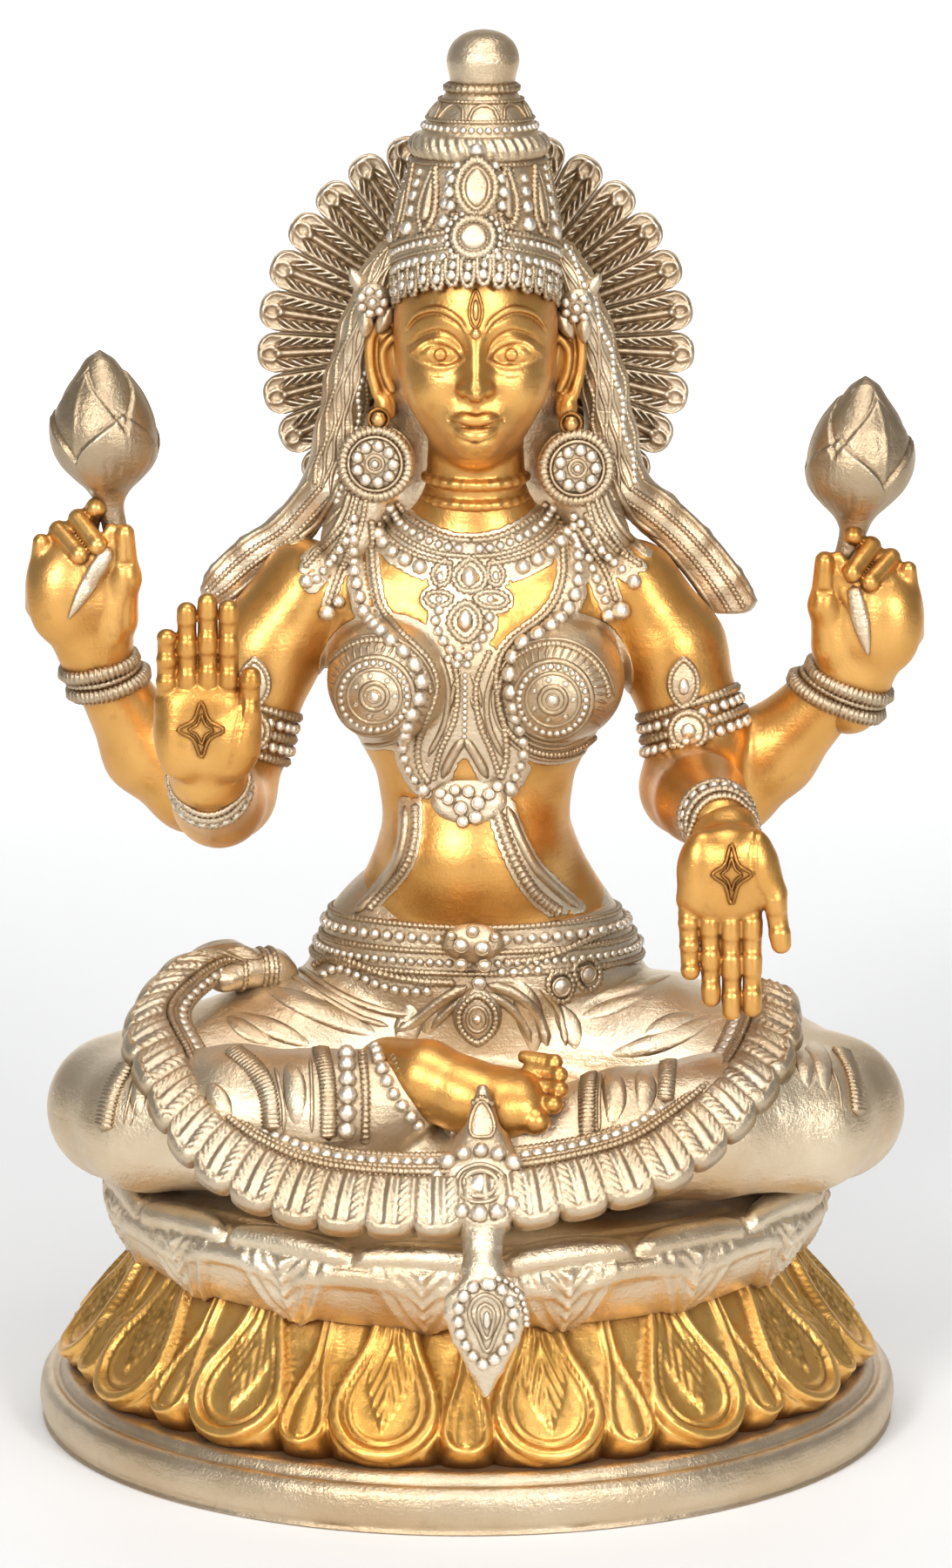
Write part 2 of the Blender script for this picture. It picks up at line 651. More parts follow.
def bodySilver(p):
    # the bodice over the breasts and everything below the belt are silver
    dx = np.abs(p[:, 0] - axisX)
    edge = np.hypot(dx - breast["apart"], p[:, 2] - breast["z"] + 0.6) - 15.8
    between = np.maximum(dx - 13, np.abs(p[:, 2] - 165.5) - 10.5)
    bodice = smooth(0.5, -0.5, np.minimum(edge, between)) * (p[:, 1] < 3)
    belt = smooth(117.5, 115.5, p[:, 2] - 0.0018 * dx**2)
    return np.maximum(bodice, belt)


# Legs, lap and cloth
rightLeg = raised([
    [-10, 8, 24, 23, 20], [-40, -2, 22.5, 20.5, 19], [-63, -12, 18.5, 18, 17], [-77.5, -24, 16.5, 16, 15.8],
    [-71, -37, 17, 15.5, 15.6], [-50, -48, 20, 14.6, 16], [-32, -54, 22, 13.4, 14.6],
    [-22, -55, 24.5, 11.4, 12.4], [-15, -56, 27, 9.6, 9.8],
])
leftLeg = raised([
    [14, 8, 24, 23, 20], [44, -2, 22.5, 20.5, 19], [67, -12, 18.5, 18, 17], [81.5, -24, 16.5, 16, 15.8],
    [75, -38, 17, 15.4, 15.4], [54, -49, 18.5, 14.4, 15.6], [34, -55, 17.5, 13, 15], [6, -59, 14, 11, 12],
])
legs = Clay((-102, -92, 58), (108, 40, 128), 0.9)
hips = [[2, 11.4, 6, 39, 28], [2, 10, 36, 38.6, 26.4], [3, 6, 46, 36, 23.5], [2.9, 4, 54, 29.6, 20.2]]
legs.limb(raised(hips), k=3)
for side in (-1, 1):
    legs.ball((axisX + side * 18.5, 21, 19 + seatTop), (20.5, 20.6, 19), k=5)
legs.limb(rightLeg, face=(0, 0, 1), k=3)
legs.limb(leftLeg, face=(0, 0, 1), k=3)
legs.ball((axisX, -32, 8 + seatTop), (44, 32, 18), k=3)
legs.above(seatTop, 0.6)
legMesh = legs.mesh()
legCast = Cast()
legCast.add(*legMesh)
makePiece("legs_and_cloth", legCast, 0.32)
print("legs clay", len(legMesh[1]))

# Right foot, sole up, in the lap
foot = Clay((-26, -78, 70), (32, -38, 106), 0.5)
footRings = raised([
    [-17, -52, 31, 8.6, 8.2], [-9, -57, 31, 8.4, 9.0], [0, -61, 28.5, 8.0, 8.0], [8, -64, 27.5, 8.2, 6.8],
    [12, -64.5, 28, 7.6, 5.8],
])
foot.limb(footRings, face=(0, -0.7, 1), k=2)
# the great toe and four small ones in an arc
toes = ((14.4, -69, 25.0), (18.2, -67.6, 28.3), (19.6, -65.4, 31.2), (19.6, -63, 33.9), (18.6, -60.8, 36.2))
for i, (x, y, z) in enumerate(toes):
    size = 3.1 if i == 0 else 2.25 - 0.12 * i
    foot.cone((x - 6, y + 2.5, z + 0.4 + seatTop), (x, y, z + seatTop), size * 0.85, size * 0.9, k=0.5)
    foot.ball((x + 0.6, y - 0.4, z + seatTop), (size * 1.05, size, size), k=0.4)
footCast = Cast()
footMesh = foot.mesh()
footCast.add(*footMesh, 0.0)
makePiece("right_foot", footCast, 0.5)

# Head and face
head = Clay((-24, -34, 204), (28, 20, 272), 0.36)
mouthZ = 171.2


def onFace(rows, side=1):
    # places given as across from the middle, depth and height above the seat
    return [(axisX + side * x, y, z + seatTop, *rest) for x, y, z, *rest in rows]


def onSkin(skin, places, side, lift, step=0.5):
    # places given as across from the middle and height, brought onto the face
    p, n = skin.front([(axisX + side * x, z + seatTop) for x, z in curve(places, step)])
    return p + n * lift


head.limb(onFace([[0, 0, 148, 11.2, 10.4], [0, -0.5, 168, 10.8, 10.2]]), k=2)
skull = [
    [0, -4.2, 203, 16.2, 18.2], [0, -4.6, 196, 17.2, 19.6], [0, -5.0, 188, 17.4, 20.2],
    [0, -6.4, 181, 16.2, 19.2], [0, -8.6, 175, 13.6, 17.0], [0, -11.6, 170.8, 10.0, 13.4],
    [0, -14.6, 168.4, 6.0, 9.0],
]
head.limb(onFace(skull), k=3)
head.ball(*onFace([[0, -20.4, 166.4]]), (4.6, 4.6, 3.9), k=4)
for side in (-1, 1):
    head.ball(*onFace([[8.6, -16.4, 178.4]], side), (6.0, 7.0, 6.4), k=6)
    head.ball(*onFace([[7.6, -28.2, 187.2]], side), (7.2, 4.8, 4.0), k=3.5, carve=True)
    head.ball(*onFace([[7.8, -19.6, 186.4]], side), (6.0, 5.0, 3.2), k=0.6)
    head.ball(*onFace([[2.75, -26.0, 178.9]], side), (1.25, 1.8, 1.3), k=1.0)
head.cone(*onFace([[0, -23.0, 191], [0, -26.2, 180.5]]), (1.5, 2.4), (1.9, 3.3), k=3.6)
head.ball(*onFace([[0, -28.2, 178.5]]), (1.9, 2.3, 1.9), k=1.6)
head.ball(*onFace([[0, -22.6, mouthZ]]), (6.8, 4.6, 4.6), k=4)
upperLip = [[-5.6, -24.8, 0.9], [-2.6, -27.2, 1.55], [0, -27.6, 1.15], [2.6, -27.2, 1.55], [5.6, -24.8, 0.9]]
lowerLip = [[-4.9, -25.2, -0.3], [-2.3, -27.1, -1.8], [0, -27.6, -2.2], [2.3, -27.1, -1.8],
            [4.9, -25.2, -0.3]]
for rows, width in ((upperLip, (0.3, 1.15, 1.15, 1.15, 0.3)), (lowerLip, (0.35, 1.35, 1.75, 1.35, 0.35))):
    head.line(onFace([[x, y, z + mouthZ] for x, y, z in rows]), width, 0.5)
for side in (-1, 1):
    # long ears: a plate, a rolled rim, a fold inside and a full lobe
    head.ball(*onFace([[19.4, -0.2, 181]], side), (4.2, 3.0, 10.6), k=1.2)
    rim = [[16.9, -2.8, 188.5], [18.8, -2.8, 191.4], [21.6, -2.2, 190.6], [23.4, -1.6, 186.4],
           [23.2, -1.8, 180], [21.8, -2.4, 174.6]]
    head.line(onFace(rim, side), (0.9, 1.15, 1.2, 1.2, 1.15, 1.3), 0.4)
    innerFold = [[18.4, -3.2, 187.6], [20.6, -2.8, 184.6], [20.2, -3.0, 179.6], [18.6, -3.4, 175.8]]
    head.line(onFace(innerFold, side), 0.8, 0.5)
    head.ball(*onFace([[20.2, -2.2, 171.6]], side), (2.5, 2.4, 3.6), k=1.0)
faceSkin = Skin(head.mesh())
for side in (-1, 1):
    upperLid = [(2.4, 185.7), (4.4, 188.2), (7.6, 189.6), (11.0, 188.6), (14.4, 185.8)]
    lowerLid = [(2.4, 185.7), (4.8, 184.1), (7.8, 183.5), (10.8, 184.2), (13.8, 186.0)]
    fold = [(2.8, 188.2), (5.0, 190.4), (8.0, 191.5), (11.6, 190.4), (15.0, 187.4)]
    under = [(4.6, 182.6), (7.8, 181.9), (11.4, 182.7)]
    brow = [(1.8, 191.4), (3.8, 194.4), (8.0, 196.4), (12.4, 195.0), (15.4, 191.2)]
    head.line(onSkin(faceSkin, upperLid, side, 0.1), (0.35, 0.75, 0.85, 0.75, 0.3), 0.2)
    head.line(onSkin(faceSkin, lowerLid, side, 0.0), (0.3, 0.55, 0.62, 0.55, 0.25), 0.2)
    head.line(onSkin(faceSkin, fold, side, 0.05), (0.25, 0.5, 0.55, 0.5, 0.25), 0.2, True)
    head.line(onSkin(faceSkin, under, side, 0.15), (0.15, 0.34, 0.15), 0.2, True)
    head.line(onSkin(faceSkin, brow, side, 0.2), (0.3, 0.7, 0.7, 0.6, 0.25), 0.25)
    underBrow = [(x + 0.2, z - 1.1) for x, z in brow]
    head.line(onSkin(faceSkin, underBrow, side, 0.1), (0.2, 0.4, 0.4, 0.4, 0.2), 0.2, True)
    turns = np.linspace(0, 2 * math.pi, 13)
    pupil = [(7.8 + 1.75 * math.cos(t), 186.5 + 1.75 * math.sin(t)) for t in turns]
    head.line(onSkin(faceSkin, pupil, side, 0.0), 0.42, 0.15, True)
    head.ball(*onFace([[1.9, -27.6, 177.3]], side), (0.65, 1.0, 0.5), k=0.4, carve=True)
    wing = [(4.7, 179.6), (4.9, 178.0), (4.0, 176.5)]
    head.line(onSkin(faceSkin, wing, side, 0.15), (0.15, 0.4, 0.15), 0.3, True)
    head.line(onSkin(faceSkin, [(22.0, 187.4), (22.0, 181.4), (20.6, 176)], side, 0.1), 0.4, 0.4, True)
seam = [[-6.0, -25.3, 1.1], [-2.7, -28.5, 0.0], [0, -29.1, -0.2], [2.7, -28.5, 0.0], [6.0, -25.3, 1.1]]
head.line(onFace([[x, y, z + mouthZ] for x, y, z in seam]), (0.35, 0.5, 0.5, 0.5, 0.35), 0.2, True)
head.line(onFace([[0, -27.6, 176.0], [0, -27.4, 174.2]]), 0.5, 0.6, True)
head.line(onFace([[-3.4, -26.2, 167.9], [0, -27.2, 168.2], [3.4, -26.2, 167.9]]), (0.5, 0.9, 0.5), 1.2, True)
for z in (151.6, 156.2):
    turns = np.linspace(0, 2 * math.pi, 18, endpoint=False)
    ring = [(axisX + 11.4 * math.cos(t), 10.6 * math.sin(t), z + seatTop + 0.9 * math.sin(t)) for t in turns]
    head.line(ring, 0.9, 1.0, closed=True, step=2.5)
headMesh = head.mesh()
headSkin = Skin(headMesh)
headCast = Cast()
headCast.add(*headMesh, 0.0)
makePiece("head", headCast, 0.38)
print("head clay", len(headMesh[1]))


# Hands
def addPads(clay, root, tip, radii, count=3, deep=0.9):
    # a straight finger in three pads, with a cut across each joint
    root, tip = np.array(root, float), np.array(tip, float)
    for i in range(count):
        r, q = (radii[0] + (radii[1] - radii[0]) * j / count for j in (i, i + 1))
        a, b = (root + (tip - root) * j / count for j in (i, i + 1))
        way, front = unit(b - a), np.array([0, -0.5, 0])
        end = 0.2 if i < count - 1 else 1.1
        core = ((r * 0.93, r * deep * 0.9), (q * 0.93, q * deep * 0.9))
        clay.cone(a + way * r * 0.3, b - way * q * end, *core, k=0.2)
        pad = ((r, r * deep), (q, q * deep))
        clay.cone(a + way * (r + 0.35) + front, b - way * (q + 0.35) + front, *pad, k=0.2)


def starMark(centre, size):
    # a diamond with hollow sides and a smaller one within
    u, v = centre
    rings = []
    for scale in (1.0, 0.55):
        a, b = size[0] * scale, size[1] * scale
        corners = [(0, -b), (a, 0), (0, b), (-a, 0)]
        ring = []
        for (px, py), (qx, qy) in zip(corners, corners[1:] + corners[:1]):
            ring += [(u + px, v + py), (u + 0.34 * (px + qx), v + 0.34 * (py + qy))]
        rings.append(ring)
    return rings


palmLines = {
    "raised": [(262, 884), (272, 850), (277, 820), (278, 800)],
    "lowered": [(870, 952), (864, 985), (867, 1012), (878, 1034)],
}
raisedHand = Clay((-74, -72, 144), (-38, -40, 206), 0.42)
raisedHand.limb([[-56, -44, 154, 7.2, 6.6], [-56.2, -52, 158, 7.8, 6.4], [-56.3, -57, 164, 9.8, 5.6]], k=3)
raisedPalm = (
    (-56.3, -58.2, 170.5, 11.2, 4.8, 10.8), (-50.2, -60.6, 167.5, 5.4, 4.2, 8.0),
    (-62.2, -60.4, 168.5, 4.8, 4.0, 9.0), (-57.8, -59.6, 176.5, 9.4, 3.4, 4.6),
)
for *centre, a, b, c in raisedPalm:
    raisedHand.ball(centre, (a, b, c), k=3)
for x0, x1, top in ((-64.7, -64.5, 193), (-60.2, -60.2, 199), (-55.8, -55.7, 201), (-51.3, -51.2, 199.6)):
    addPads(raisedHand, (x0, -60.0, 178.0), (x1, -61.2, top), (2.45, 2.15))
raisedHand.limb([[-49.4, -60.6, 167, 4.0, 3.4], [-47.2, -61.2, 173.4, 3.0, 2.7]], k=2)
addPads(raisedHand, (-47.2, -61.2, 171.6), (-46.3, -61.8, 185.0), (2.7, 2.2), 2)
raisedHand.engrave(palmLines["raised"], 0.45)

loweredHand = Clay((42, -72, 98), (76, -38, 162), 0.42)
loweredWrist = [[55.2, -42, 146.4, 6.6, 6.2], [56.2, -50, 145.0, 6.9, 5.8], [57, -56.5, 141.5, 8.2, 5.0]]
loweredHand.limb(loweredWrist, k=3)
loweredPalm = (
    (56.6, -58.4, 138.2, 10.4, 4.8, 10.2), (62.4, -60.6, 140, 4.6, 4.0, 8.2),
    (50.8, -60.4, 139, 4.6, 3.8, 8.6), (55.2, -59.6, 132, 9.4, 3.4, 4.6),
)
for *centre, a, b, c in loweredPalm:
    loweredHand.ball(centre, (a, b, c), k=3)
for x0, x1, low in ((48.2, 48.8, 114.4), (52.8, 53.3, 108.4), (57.4, 57.8, 105.4), (62.0, 62.2, 106.2)):
    addPads(loweredHand, (x0, -60.0, 130.4), (x1, -61.4, low), (2.45, 2.1))
loweredHand.limb([[63.6, -60.4, 140, 4.0, 3.4], [66.8, -61, 134, 3.0, 2.8]], k=2)
addPads(loweredHand, (66.4, -61, 136), (68.8, -61.6, 120.4), (2.8, 2.2), 2)
loweredHand.engrave(palmLines["lowered"], 0.45)


knuckles = (  # knuckle, bend and tip of the three fingers round the stem
    ((-92.4, -4.5, 198), (-90.8, -8.6, 205.2), (-86.2, -13.6, 201.0)),
    ((-88.6, -4.5, 200), (-86.4, -9.4, 208.0), (-82.2, -14.2, 203.2)),
    ((-85.6, -4.5, 202), (-83.6, -7.4, 208.6), (-82.6, -9.6, 210.8)),
)


def budHand(clay, flip, dx, dz):
    # a fist round the stem of a bud, given for the right side and flipped for the left
    def at(p):
        return [-p[0] + dx if flip else p[0], p[1], p[2] + dz, *p[3:]]

    wrist = ((-82, -4, 171, 7.2, 6.6), (-83.4, -6, 179, 8.4, 6.8), (-85.2, -7, 186, 10.6, 7.0))
    clay.limb([at(p) for p in wrist], k=2)
    clay.ball(at((-86, -7.5, 193)), (12.1, 6.8, 12.4), k=3)
    clay.ball(at((-90.6, -10.6, 190)), (6.8, 5.0, 9.6), k=4)
    thumb = ((-80, -8, 177, 3.0, 3.4), (-77.6, -9.5, 185, 3.6, 4.0), (-75.8, -11.5, 195, 3.0, 3.2),
             (-76.0, -12.8, 205.2, 2.3, 2.4))
    clay.limb([at(p) for p in thumb], k=2.4)
    clay.cone(at((-79, -14.6, 198.6)), at((-73.6, -14.6, 198.6)), 0.5, 0.5, k=0.2, carve=True)
    clay.cone(at((-95.4, -6.5, 188)), at((-94.8, -9.4, 202.8)), 3.4, 1.9, k=1.2)
    for knuckle, bend, tip in knuckles:
        clay.cone(at(knuckle), at(bend), 2.9, 2.3, k=0.7)
        clay.cone(at(bend), at(tip), 2.3, 2.1, k=0.25)
        clay.ball(at((tip[0] + 0.2, tip[1] - 0.5, tip[2] - 0.3)), (2.2, 2.1, 2.2), k=0.2)
    # the long leaf of the stem across the palm
    blade = ((-78.0, -12.6, 206, 2.4), (-81.6, -13.6, 199, 2.9), (-85.0, -13.8, 192, 2.2),
             (-88.8, -12.8, 184.6, 0.5))
    for (*a, ra), (*b, rb) in zip(blade, blade[1:]):
        clay.cone(at(a), at(b), (ra, 1.2), (rb, 1.0), k=0.35)
    vein = ((-78.6, -14.0, 205), (-82.0, -15.0, 198), (-87.2, -14.2, 187.6))
    clay.line([at(p) for p in vein], 0.42, 0.3, True)


rightBudHand = Clay((-104, -26, 160), (-68, 8, 218), 0.5)
budHand(rightBudHand, False, 0, 0)
leftBudHand = Clay((70, -26, 155), (110, 8, 214), 0.5)
budHand(leftBudHand, True, 3.6, -6.2)
handMeshes = [clay.mesh() for clay in (raisedHand, loweredHand, rightBudHand, leftBudHand)]
handsCast = Cast()
for mesh in handMeshes:
    handsCast.add(*mesh, 0.0)
makePiece("hands", handsCast, 0.45)


# Lotus buds
def petalLayer(phase, height, count, offset, shoulder, tip, lift):
    # one whorl of pointed petals: how far it stands out, and its engraved edge
    s = np.abs((phase * count + offset) % 1 * 2 - 1)
    wide = 1.02 - np.clip((height - shoulder) / (tip - shoulder), 0, 1.3) ** 1.5
    edge = (wide - s) * np.clip(tip - height + 6, 2, 12)
    groove = 0.55 * np.exp(-(((edge - 0.05) / 0.32) ** 2))
    rib = 0.22 * np.exp(-((s / 0.05) ** 2)) * smooth(0.2, 1, edge)
    return lift * smooth(-0.15, 0.35, edge) - groove + rib


budProfile = [  # radius and height
    [2.9, 0], [3.0, 8.4], [4.4, 12.6], [6.8, 15.6], [9.4, 18.6], [11.0, 21.8], [11.6, 25.4], [11.1, 30],
    [9.2, 35], [6.4, 39], [3.8, 42.2], [0.7, 44.2],
]


def bud(cast, x, y, z, lean):
    rows, sides = 120, 150
    at = curve(budProfile, 0.4)
    share, v = np.linspace(0, 1, len(at)), np.linspace(0, 1, rows)
    radius, height = (np.interp(v, share, at[:, k])[:, None] for k in (0, 1))
    turn = np.arange(sides) * 2 * math.pi / sides
    phase = (turn / (2 * math.pi))[None]
    outer = petalLayer(phase, height, 3, 0.5 + 0.12 * lean, 20, 31.5, 0.9)
    middle = petalLayer(phase, height, 3, 0.12 * lean, 27, 40.5, 0.6)
    strokes = -0.22 * np.clip(np.sin(turn * 24)[None] - 0.3, 0, 1)
    strokes = strokes * smooth(14, 16, height) * smooth(24, 19, height)
    relief = smooth(11, 17, height) * (outer + middle + strokes - 0.7)
    r = radius + relief * smooth(44.2, 40, height)
    shift = np.interp(height, [0, 10, 44], [-1.2, 0, 1.0]) * lean
    tall = np.broadcast_to(z + height, r.shape)
    points = np.stack([x + shift + r * np.sin(turn), y - r * np.cos(turn), tall], 2).reshape(-1, 3)
    count = len(points)
    points = np.vstack([points, [x + lean, y, z + 44.6], [x - 1.2 * lean, y, z - 1]])
    top = fanFaces(np.arange(count - sides, count), count)
    foot = fanFaces(np.arange(sides), count + 1, True)
    cast.add(points, [gridFaces(rows, sides, wrapColumns=True), top, foot], 2.0)


budCast = Cast()
bud(budCast, -79.6, -7, 201.0, -1.8)
bud(budCast, 86.3, -7, 195.2, 2.2)
makePiece("lotus_buds", budCast, 0.6)
print("hands and buds")

# Hair and veil behind the ears, with a sash over each shoulder
veil = Clay((-66, -12, 180), (74, 28, 268), 0.74)
veilRings = raised([
    [-15, 4, 207, 4.4, 8], [-19.5, 4, 199, 4.6, 8.6], [-23.6, 6, 188, 4.8, 7.4], [-26.6, 7.6, 176, 5.2, 7],
    [-28.4, 7.6, 164, 5.6, 6.4], [-31.5, 7, 152, 5.4, 5.4], [-40.2, 8, 142, 4.7, 2.8],
    [-48, 8.4, 136.6, 4.7, 2.2], [-54.6, 9.0, 130.6, 4.4, 2.0], [-58.2, 9.2, 127.2, 2.9, 1.6],
])
farStrap = raised([[43, 8, 146, 5.2, 3.0], [50.6, 8.6, 138.6, 5.2, 2.4], [57.4, 9.6, 129.8, 5.4, 2.2],
                   [61.2, 10.6, 123.4, 5.4, 2.0]])
farVeil = mirrored(veilRings[:6]) + farStrap
for rings in (veilRings, farVeil):
    veil.limb(rings, face=(0, -1, 0.2), k=2.2)
backHair = [[2, 8, 138, 32, 6.5], [2, 7.6, 146, 30.5, 8], [2, 7.4, 153, 26, 9], [2, 7, 164, 21, 10],
            [2, -1, 190, 18, 17]]
veil.limb(raised(backHair), k=3)
for side in (-1, 1):
    lock = ((22, 2, 158, 5, 5), (25, 1, 150, 6, 5.5), (28, 0, 142, 6, 5), (31, 0, 135, 5, 4))
    veil.limb(raised([[axisX + side * x, *rest] for x, *rest in lock]), k=3)
veil.above(183, 1)
veilMesh = veil.mesh()
veilMesh[0][:, 1] = np.minimum(veilMesh[0][:, 1], 17.7)  # flat where the halo stands behind it
veilSkin = Skin(veilMesh)
veilCast = Cast()
veilCast.add(*veilMesh)
# wavy strands down the hair; a border on each side and a nicked cord along the strap
strands = [(x, 0, 6) for x in (-0.84, -0.6, -0.36, -0.12, 0.12, 0.36, 0.6, 0.84)]
strands += [(x, 5, 10) for x in (-0.86, -0.3, 0.3, 0.86)]
for rings in (veilRings, farVeil):
    for i, (x, first, last) in enumerate(strands):
        line = []
        for j in range(first, last):
            before, after = np.array(rings[max(j - 1, 0)]), np.array(rings[min(j + 1, len(rings) - 1)])
            way = unit((after - before)[[0, 2]])
            line.append((rings[j][0] - x * rings[j][3] * way[1], rings[j][2] + x * rings[j][3] * way[0]))
        fine = curve(line, 0.8)
        if first == 0:
            fine[:, 0] += 0.45 * np.sin(np.arange(len(fine)) * 0.42 + 2.1 * i)
        p, n = veilSkin.front(fine)
        jump = np.flatnonzero(np.linalg.norm(np.diff(p, axis=0), axis=1) > 4) + 1
        for run in np.split(np.arange(len(p)), jump):
            if len(run) < 6:
                continue
            if abs(x) == 0.3 or x in (0.84, -0.6):
                nicked(veilCast, p[run], 0.8, 1.15, 0.45, n[run], 0.8)
            elif x == 0.6:
                beads(veilCast, p[run][::2], 0.95, 1.0, n[run][::2], 0.8)
            else:
                ends = np.minimum(1, np.minimum(np.arange(len(run)) + 1, np.arange(len(run))[::-1] + 1) / 4)
                sweep(veilCast, p[run], (0.55 if first == 0 else 0.95) * ends, n[run], 6, 0.8)
# strands and a nicked hem down the back, plainer than the front
for i, x in enumerate(np.linspace(-22, 26, 17)):
    widths = ((0.86, 238), (0.92, 220), (1, 204), (1.06, 192.5))  # share of the width, height
    line = curve([(axisX + (x - axisX) * share, z) for share, z in widths], 1.0)
    line[:, 0] += 0.5 * np.sin(np.arange(len(line)) * 0.4 + 1.7 * i)
    p, n = veilSkin.back(line)
    if len(p) > 8:
        sweep(veilCast, p, 0.8 * np.minimum(1, (np.arange(len(p))[::-1] + 1) / 4), n, 6, 0.7)
p, n = veilSkin.back([(x, 194.5 + 0.8 * math.sin((x - axisX) * 0.5)) for x in np.linspace(-29, 33, 60)])
nicked(veilCast, p, 1.1, 1.3, 0.4, n, 0.8)
makePiece("hair_and_veil", veilCast, 0.55)
print("veil")

# Crown: a tall cap with a fringe, beaded bands, a medallion and a flame in front, and a knob
crownRings = np.array([  # z, x, y, across, through
    [190, 2, -3.6, 17.4, 21.6], [199.8, 2, -3.6, 18.2, 22.6], [206, 2, -3, 18.6, 22.6],
    [212, 2, -2, 18.0, 20.6], [220, 2.3, -1, 16.4, 17.8], [226, 2.6, 0, 15.0, 15.4],
    [229, 2.7, 0.3, 13.6, 13.6], [233, 2.9, 1.0, 13.0, 13.0], [237, 3, 1.5, 11.2, 11.2],
    [241.5, 3.3, 2.5, 7.9, 7.9], [243.4, 3.4, 2.8, 7.0, 7.0],
])
crownRings[:, 0] += seatTop


def crownAt(turn, z, proud=0.0):
    # a point on the crown and its normal; turn is in degrees, 0 in front, z is above the seat
    t, z = np.radians(np.atleast_1d(turn).astype(float)), np.atleast_1d(z).astype(float) + seatTop
    t, z = np.broadcast_arrays(t, z)

    def place(t, z):
        x, y, a, b = (np.interp(z, crownRings[:, 0], crownRings[:, k]) for k in (1, 2, 3, 4))
        return np.stack([x + a * np.sin(t), y - b * np.cos(t), z], -1)

    here = place(t, z)
    normal = unit(np.cross(place(t + 0.01, z) - here, place(t, z + 0.3) - here))
    return here + normal * proud, normal


def arch(turn):
    # the bands rise towards the front
    return 11.0 * np.cos(np.radians(np.clip(np.abs(turn) * 0.62, 0, 90))) ** 2


def crownRow(turns, z, kind, size, gap, depth, flat, uneven=0.0):
    # a beaded or nicked row right round the crown
    p, n = crownAt(turns, z, 0.1 if uneven else 0.2)
    if kind == "cord":
        nicked(crownCast, p, size, gap, depth, n, flat, closed=True)
        return
    path = curve(np.hstack([p, n])[::3], gap, closed=True)
    sizes = size * (1 - uneven / 2 + uneven * noise.random(len(path))) if uneven else size
    beads(crownCast, path[:, :3], sizes, 1.0, path[:, 3:], 0.8)


crownSize = {
    "brim": 192.0, "top": 243.4, "sides": 240, "rows": 66,
    "bands": ((4.4, "cord", 0.75, 1.1), (6.6, "beads", 1.15, 2.5), (8.8, "cord", 0.6, 1.0),
              (10.9, "beads", 0.95, 2.1), (12.8, "cord", 0.8, 1.1)),
    "upperRows": ((226.8, "cord", 0.6, 1.0), (234.2, "beads", 0.85, 1.9), (235.9, "cord", 0.5, 0.9),
                  (239.9, "cord", 0.5, 0.9), (242.4, "cord", 1.15, 1.4)),
    "fringe": 34, "leaves": 20,
}
crownCast = Cast()
turns = np.linspace(-180, 180, crownSize["sides"] + 1)[:-1]
brim = crownSize["brim"] + arch(turns)
rises = np.linspace(0, 1, crownSize["rows"])
shell = np.array([crownAt(turns, brim + (crownSize["top"] - brim) * share)[0] for share in rises])
crownCast.add(shell, gridFaces(len(shell), len(turns), wrapColumns=True))
inner, _ = crownAt(turns, brim + 0.6, -2.2)
crownCast.add(np.vstack([shell[0], inner]), gridFaces(2, len(turns), wrapColumns=True, flip=True))
fineTurns = np.linspace(-180, 180, 361)[:-1]
for base, *row in crownSize["bands"]:
    rise = crownSize["brim"] + base + arch(fineTurns) * (1 - base / 60)
    crownRow(fineTurns, rise, *row, 0.35, 0.9, 0.2)
for i in range(crownSize["fringe"]):
    # the fringe: small nicked curls over the brow
    turn = -180 + (i + 0.5) * 360 / crownSize["fringe"]
    low = 191.6 + arch(turn) + 0.5 * (i % 2)
    half = 4.3
    loop = [(-half, 4.6), (-half * 0.95, 1.6), (-half * 0.4, -0.6), (half * 0.5, -0.4), (half * 0.95, 1.8),
            (half, 4.6)]
    fine = curve([(turn + a, low + b) for a, b in loop], 0.5)
    p, n = crownAt(fine[:, 0], np.maximum(fine[:, 1], 190.5), 0.5)
    nicked(crownCast, p, 0.72, 0.95, 0.4, n, 1.0)
    p, n = crownAt([turn - 0.6, turn + 0.5], [low + 1.4, low + 3.4], 0.4)
    beads(crownCast, p, [1.35, 1.1], 1.0, n, 0.8)
for i in range(crownSize["leaves"]):
    # tall nicked leaves with a rib, and beads between them, up to the cushion
    turn = (24 + i * 312 / (crownSize["leaves"] - 1) + 180) % 360 - 180
    low, high = crownSize["brim"] + 13.8 + arch(turn) * 0.8, 226.4
    if i % 2 == 0:
        for side in (-1, 1):
            rise = np.linspace(low, high, 24)
            belly = np.sin(math.pi * np.clip((rise - low) / (high - low), 0, 1) ** 0.7)
            p, n = crownAt(turn + side * (0.8 + 7.0 * belly), rise, 0.2)
            nicked(crownCast, p, 1.15, 1.15, 0.45, n, 0.8)
        p, n = crownAt(turn, rise, 0.2)
        sweep(crownCast, p[4:-3], 1.3 * belly[4:-3] + 0.2, n[4:-3], 8, 0.8)
    else:
        z, size = low + 1.2, 1.9
        while z < high - 1:
            p, n = crownAt(turn, z, 0.2)
            beads(crownCast, p, size, 1.0, n, 0.8)
            z, size = z + size * 1.95, size * 0.86
for k in range(3):
    rise = np.linspace(0, 1, 20)
    for side in (-1, 1):
        p, n = crownAt(side * (12 + 3.8 * k - (3 + k) * rise), 206 + 2.2 * k + (19 - 2 * k) * rise, 0.3)
        nicked(crownCast, p, 1.05, 1.1, 0.45, n, 0.8)
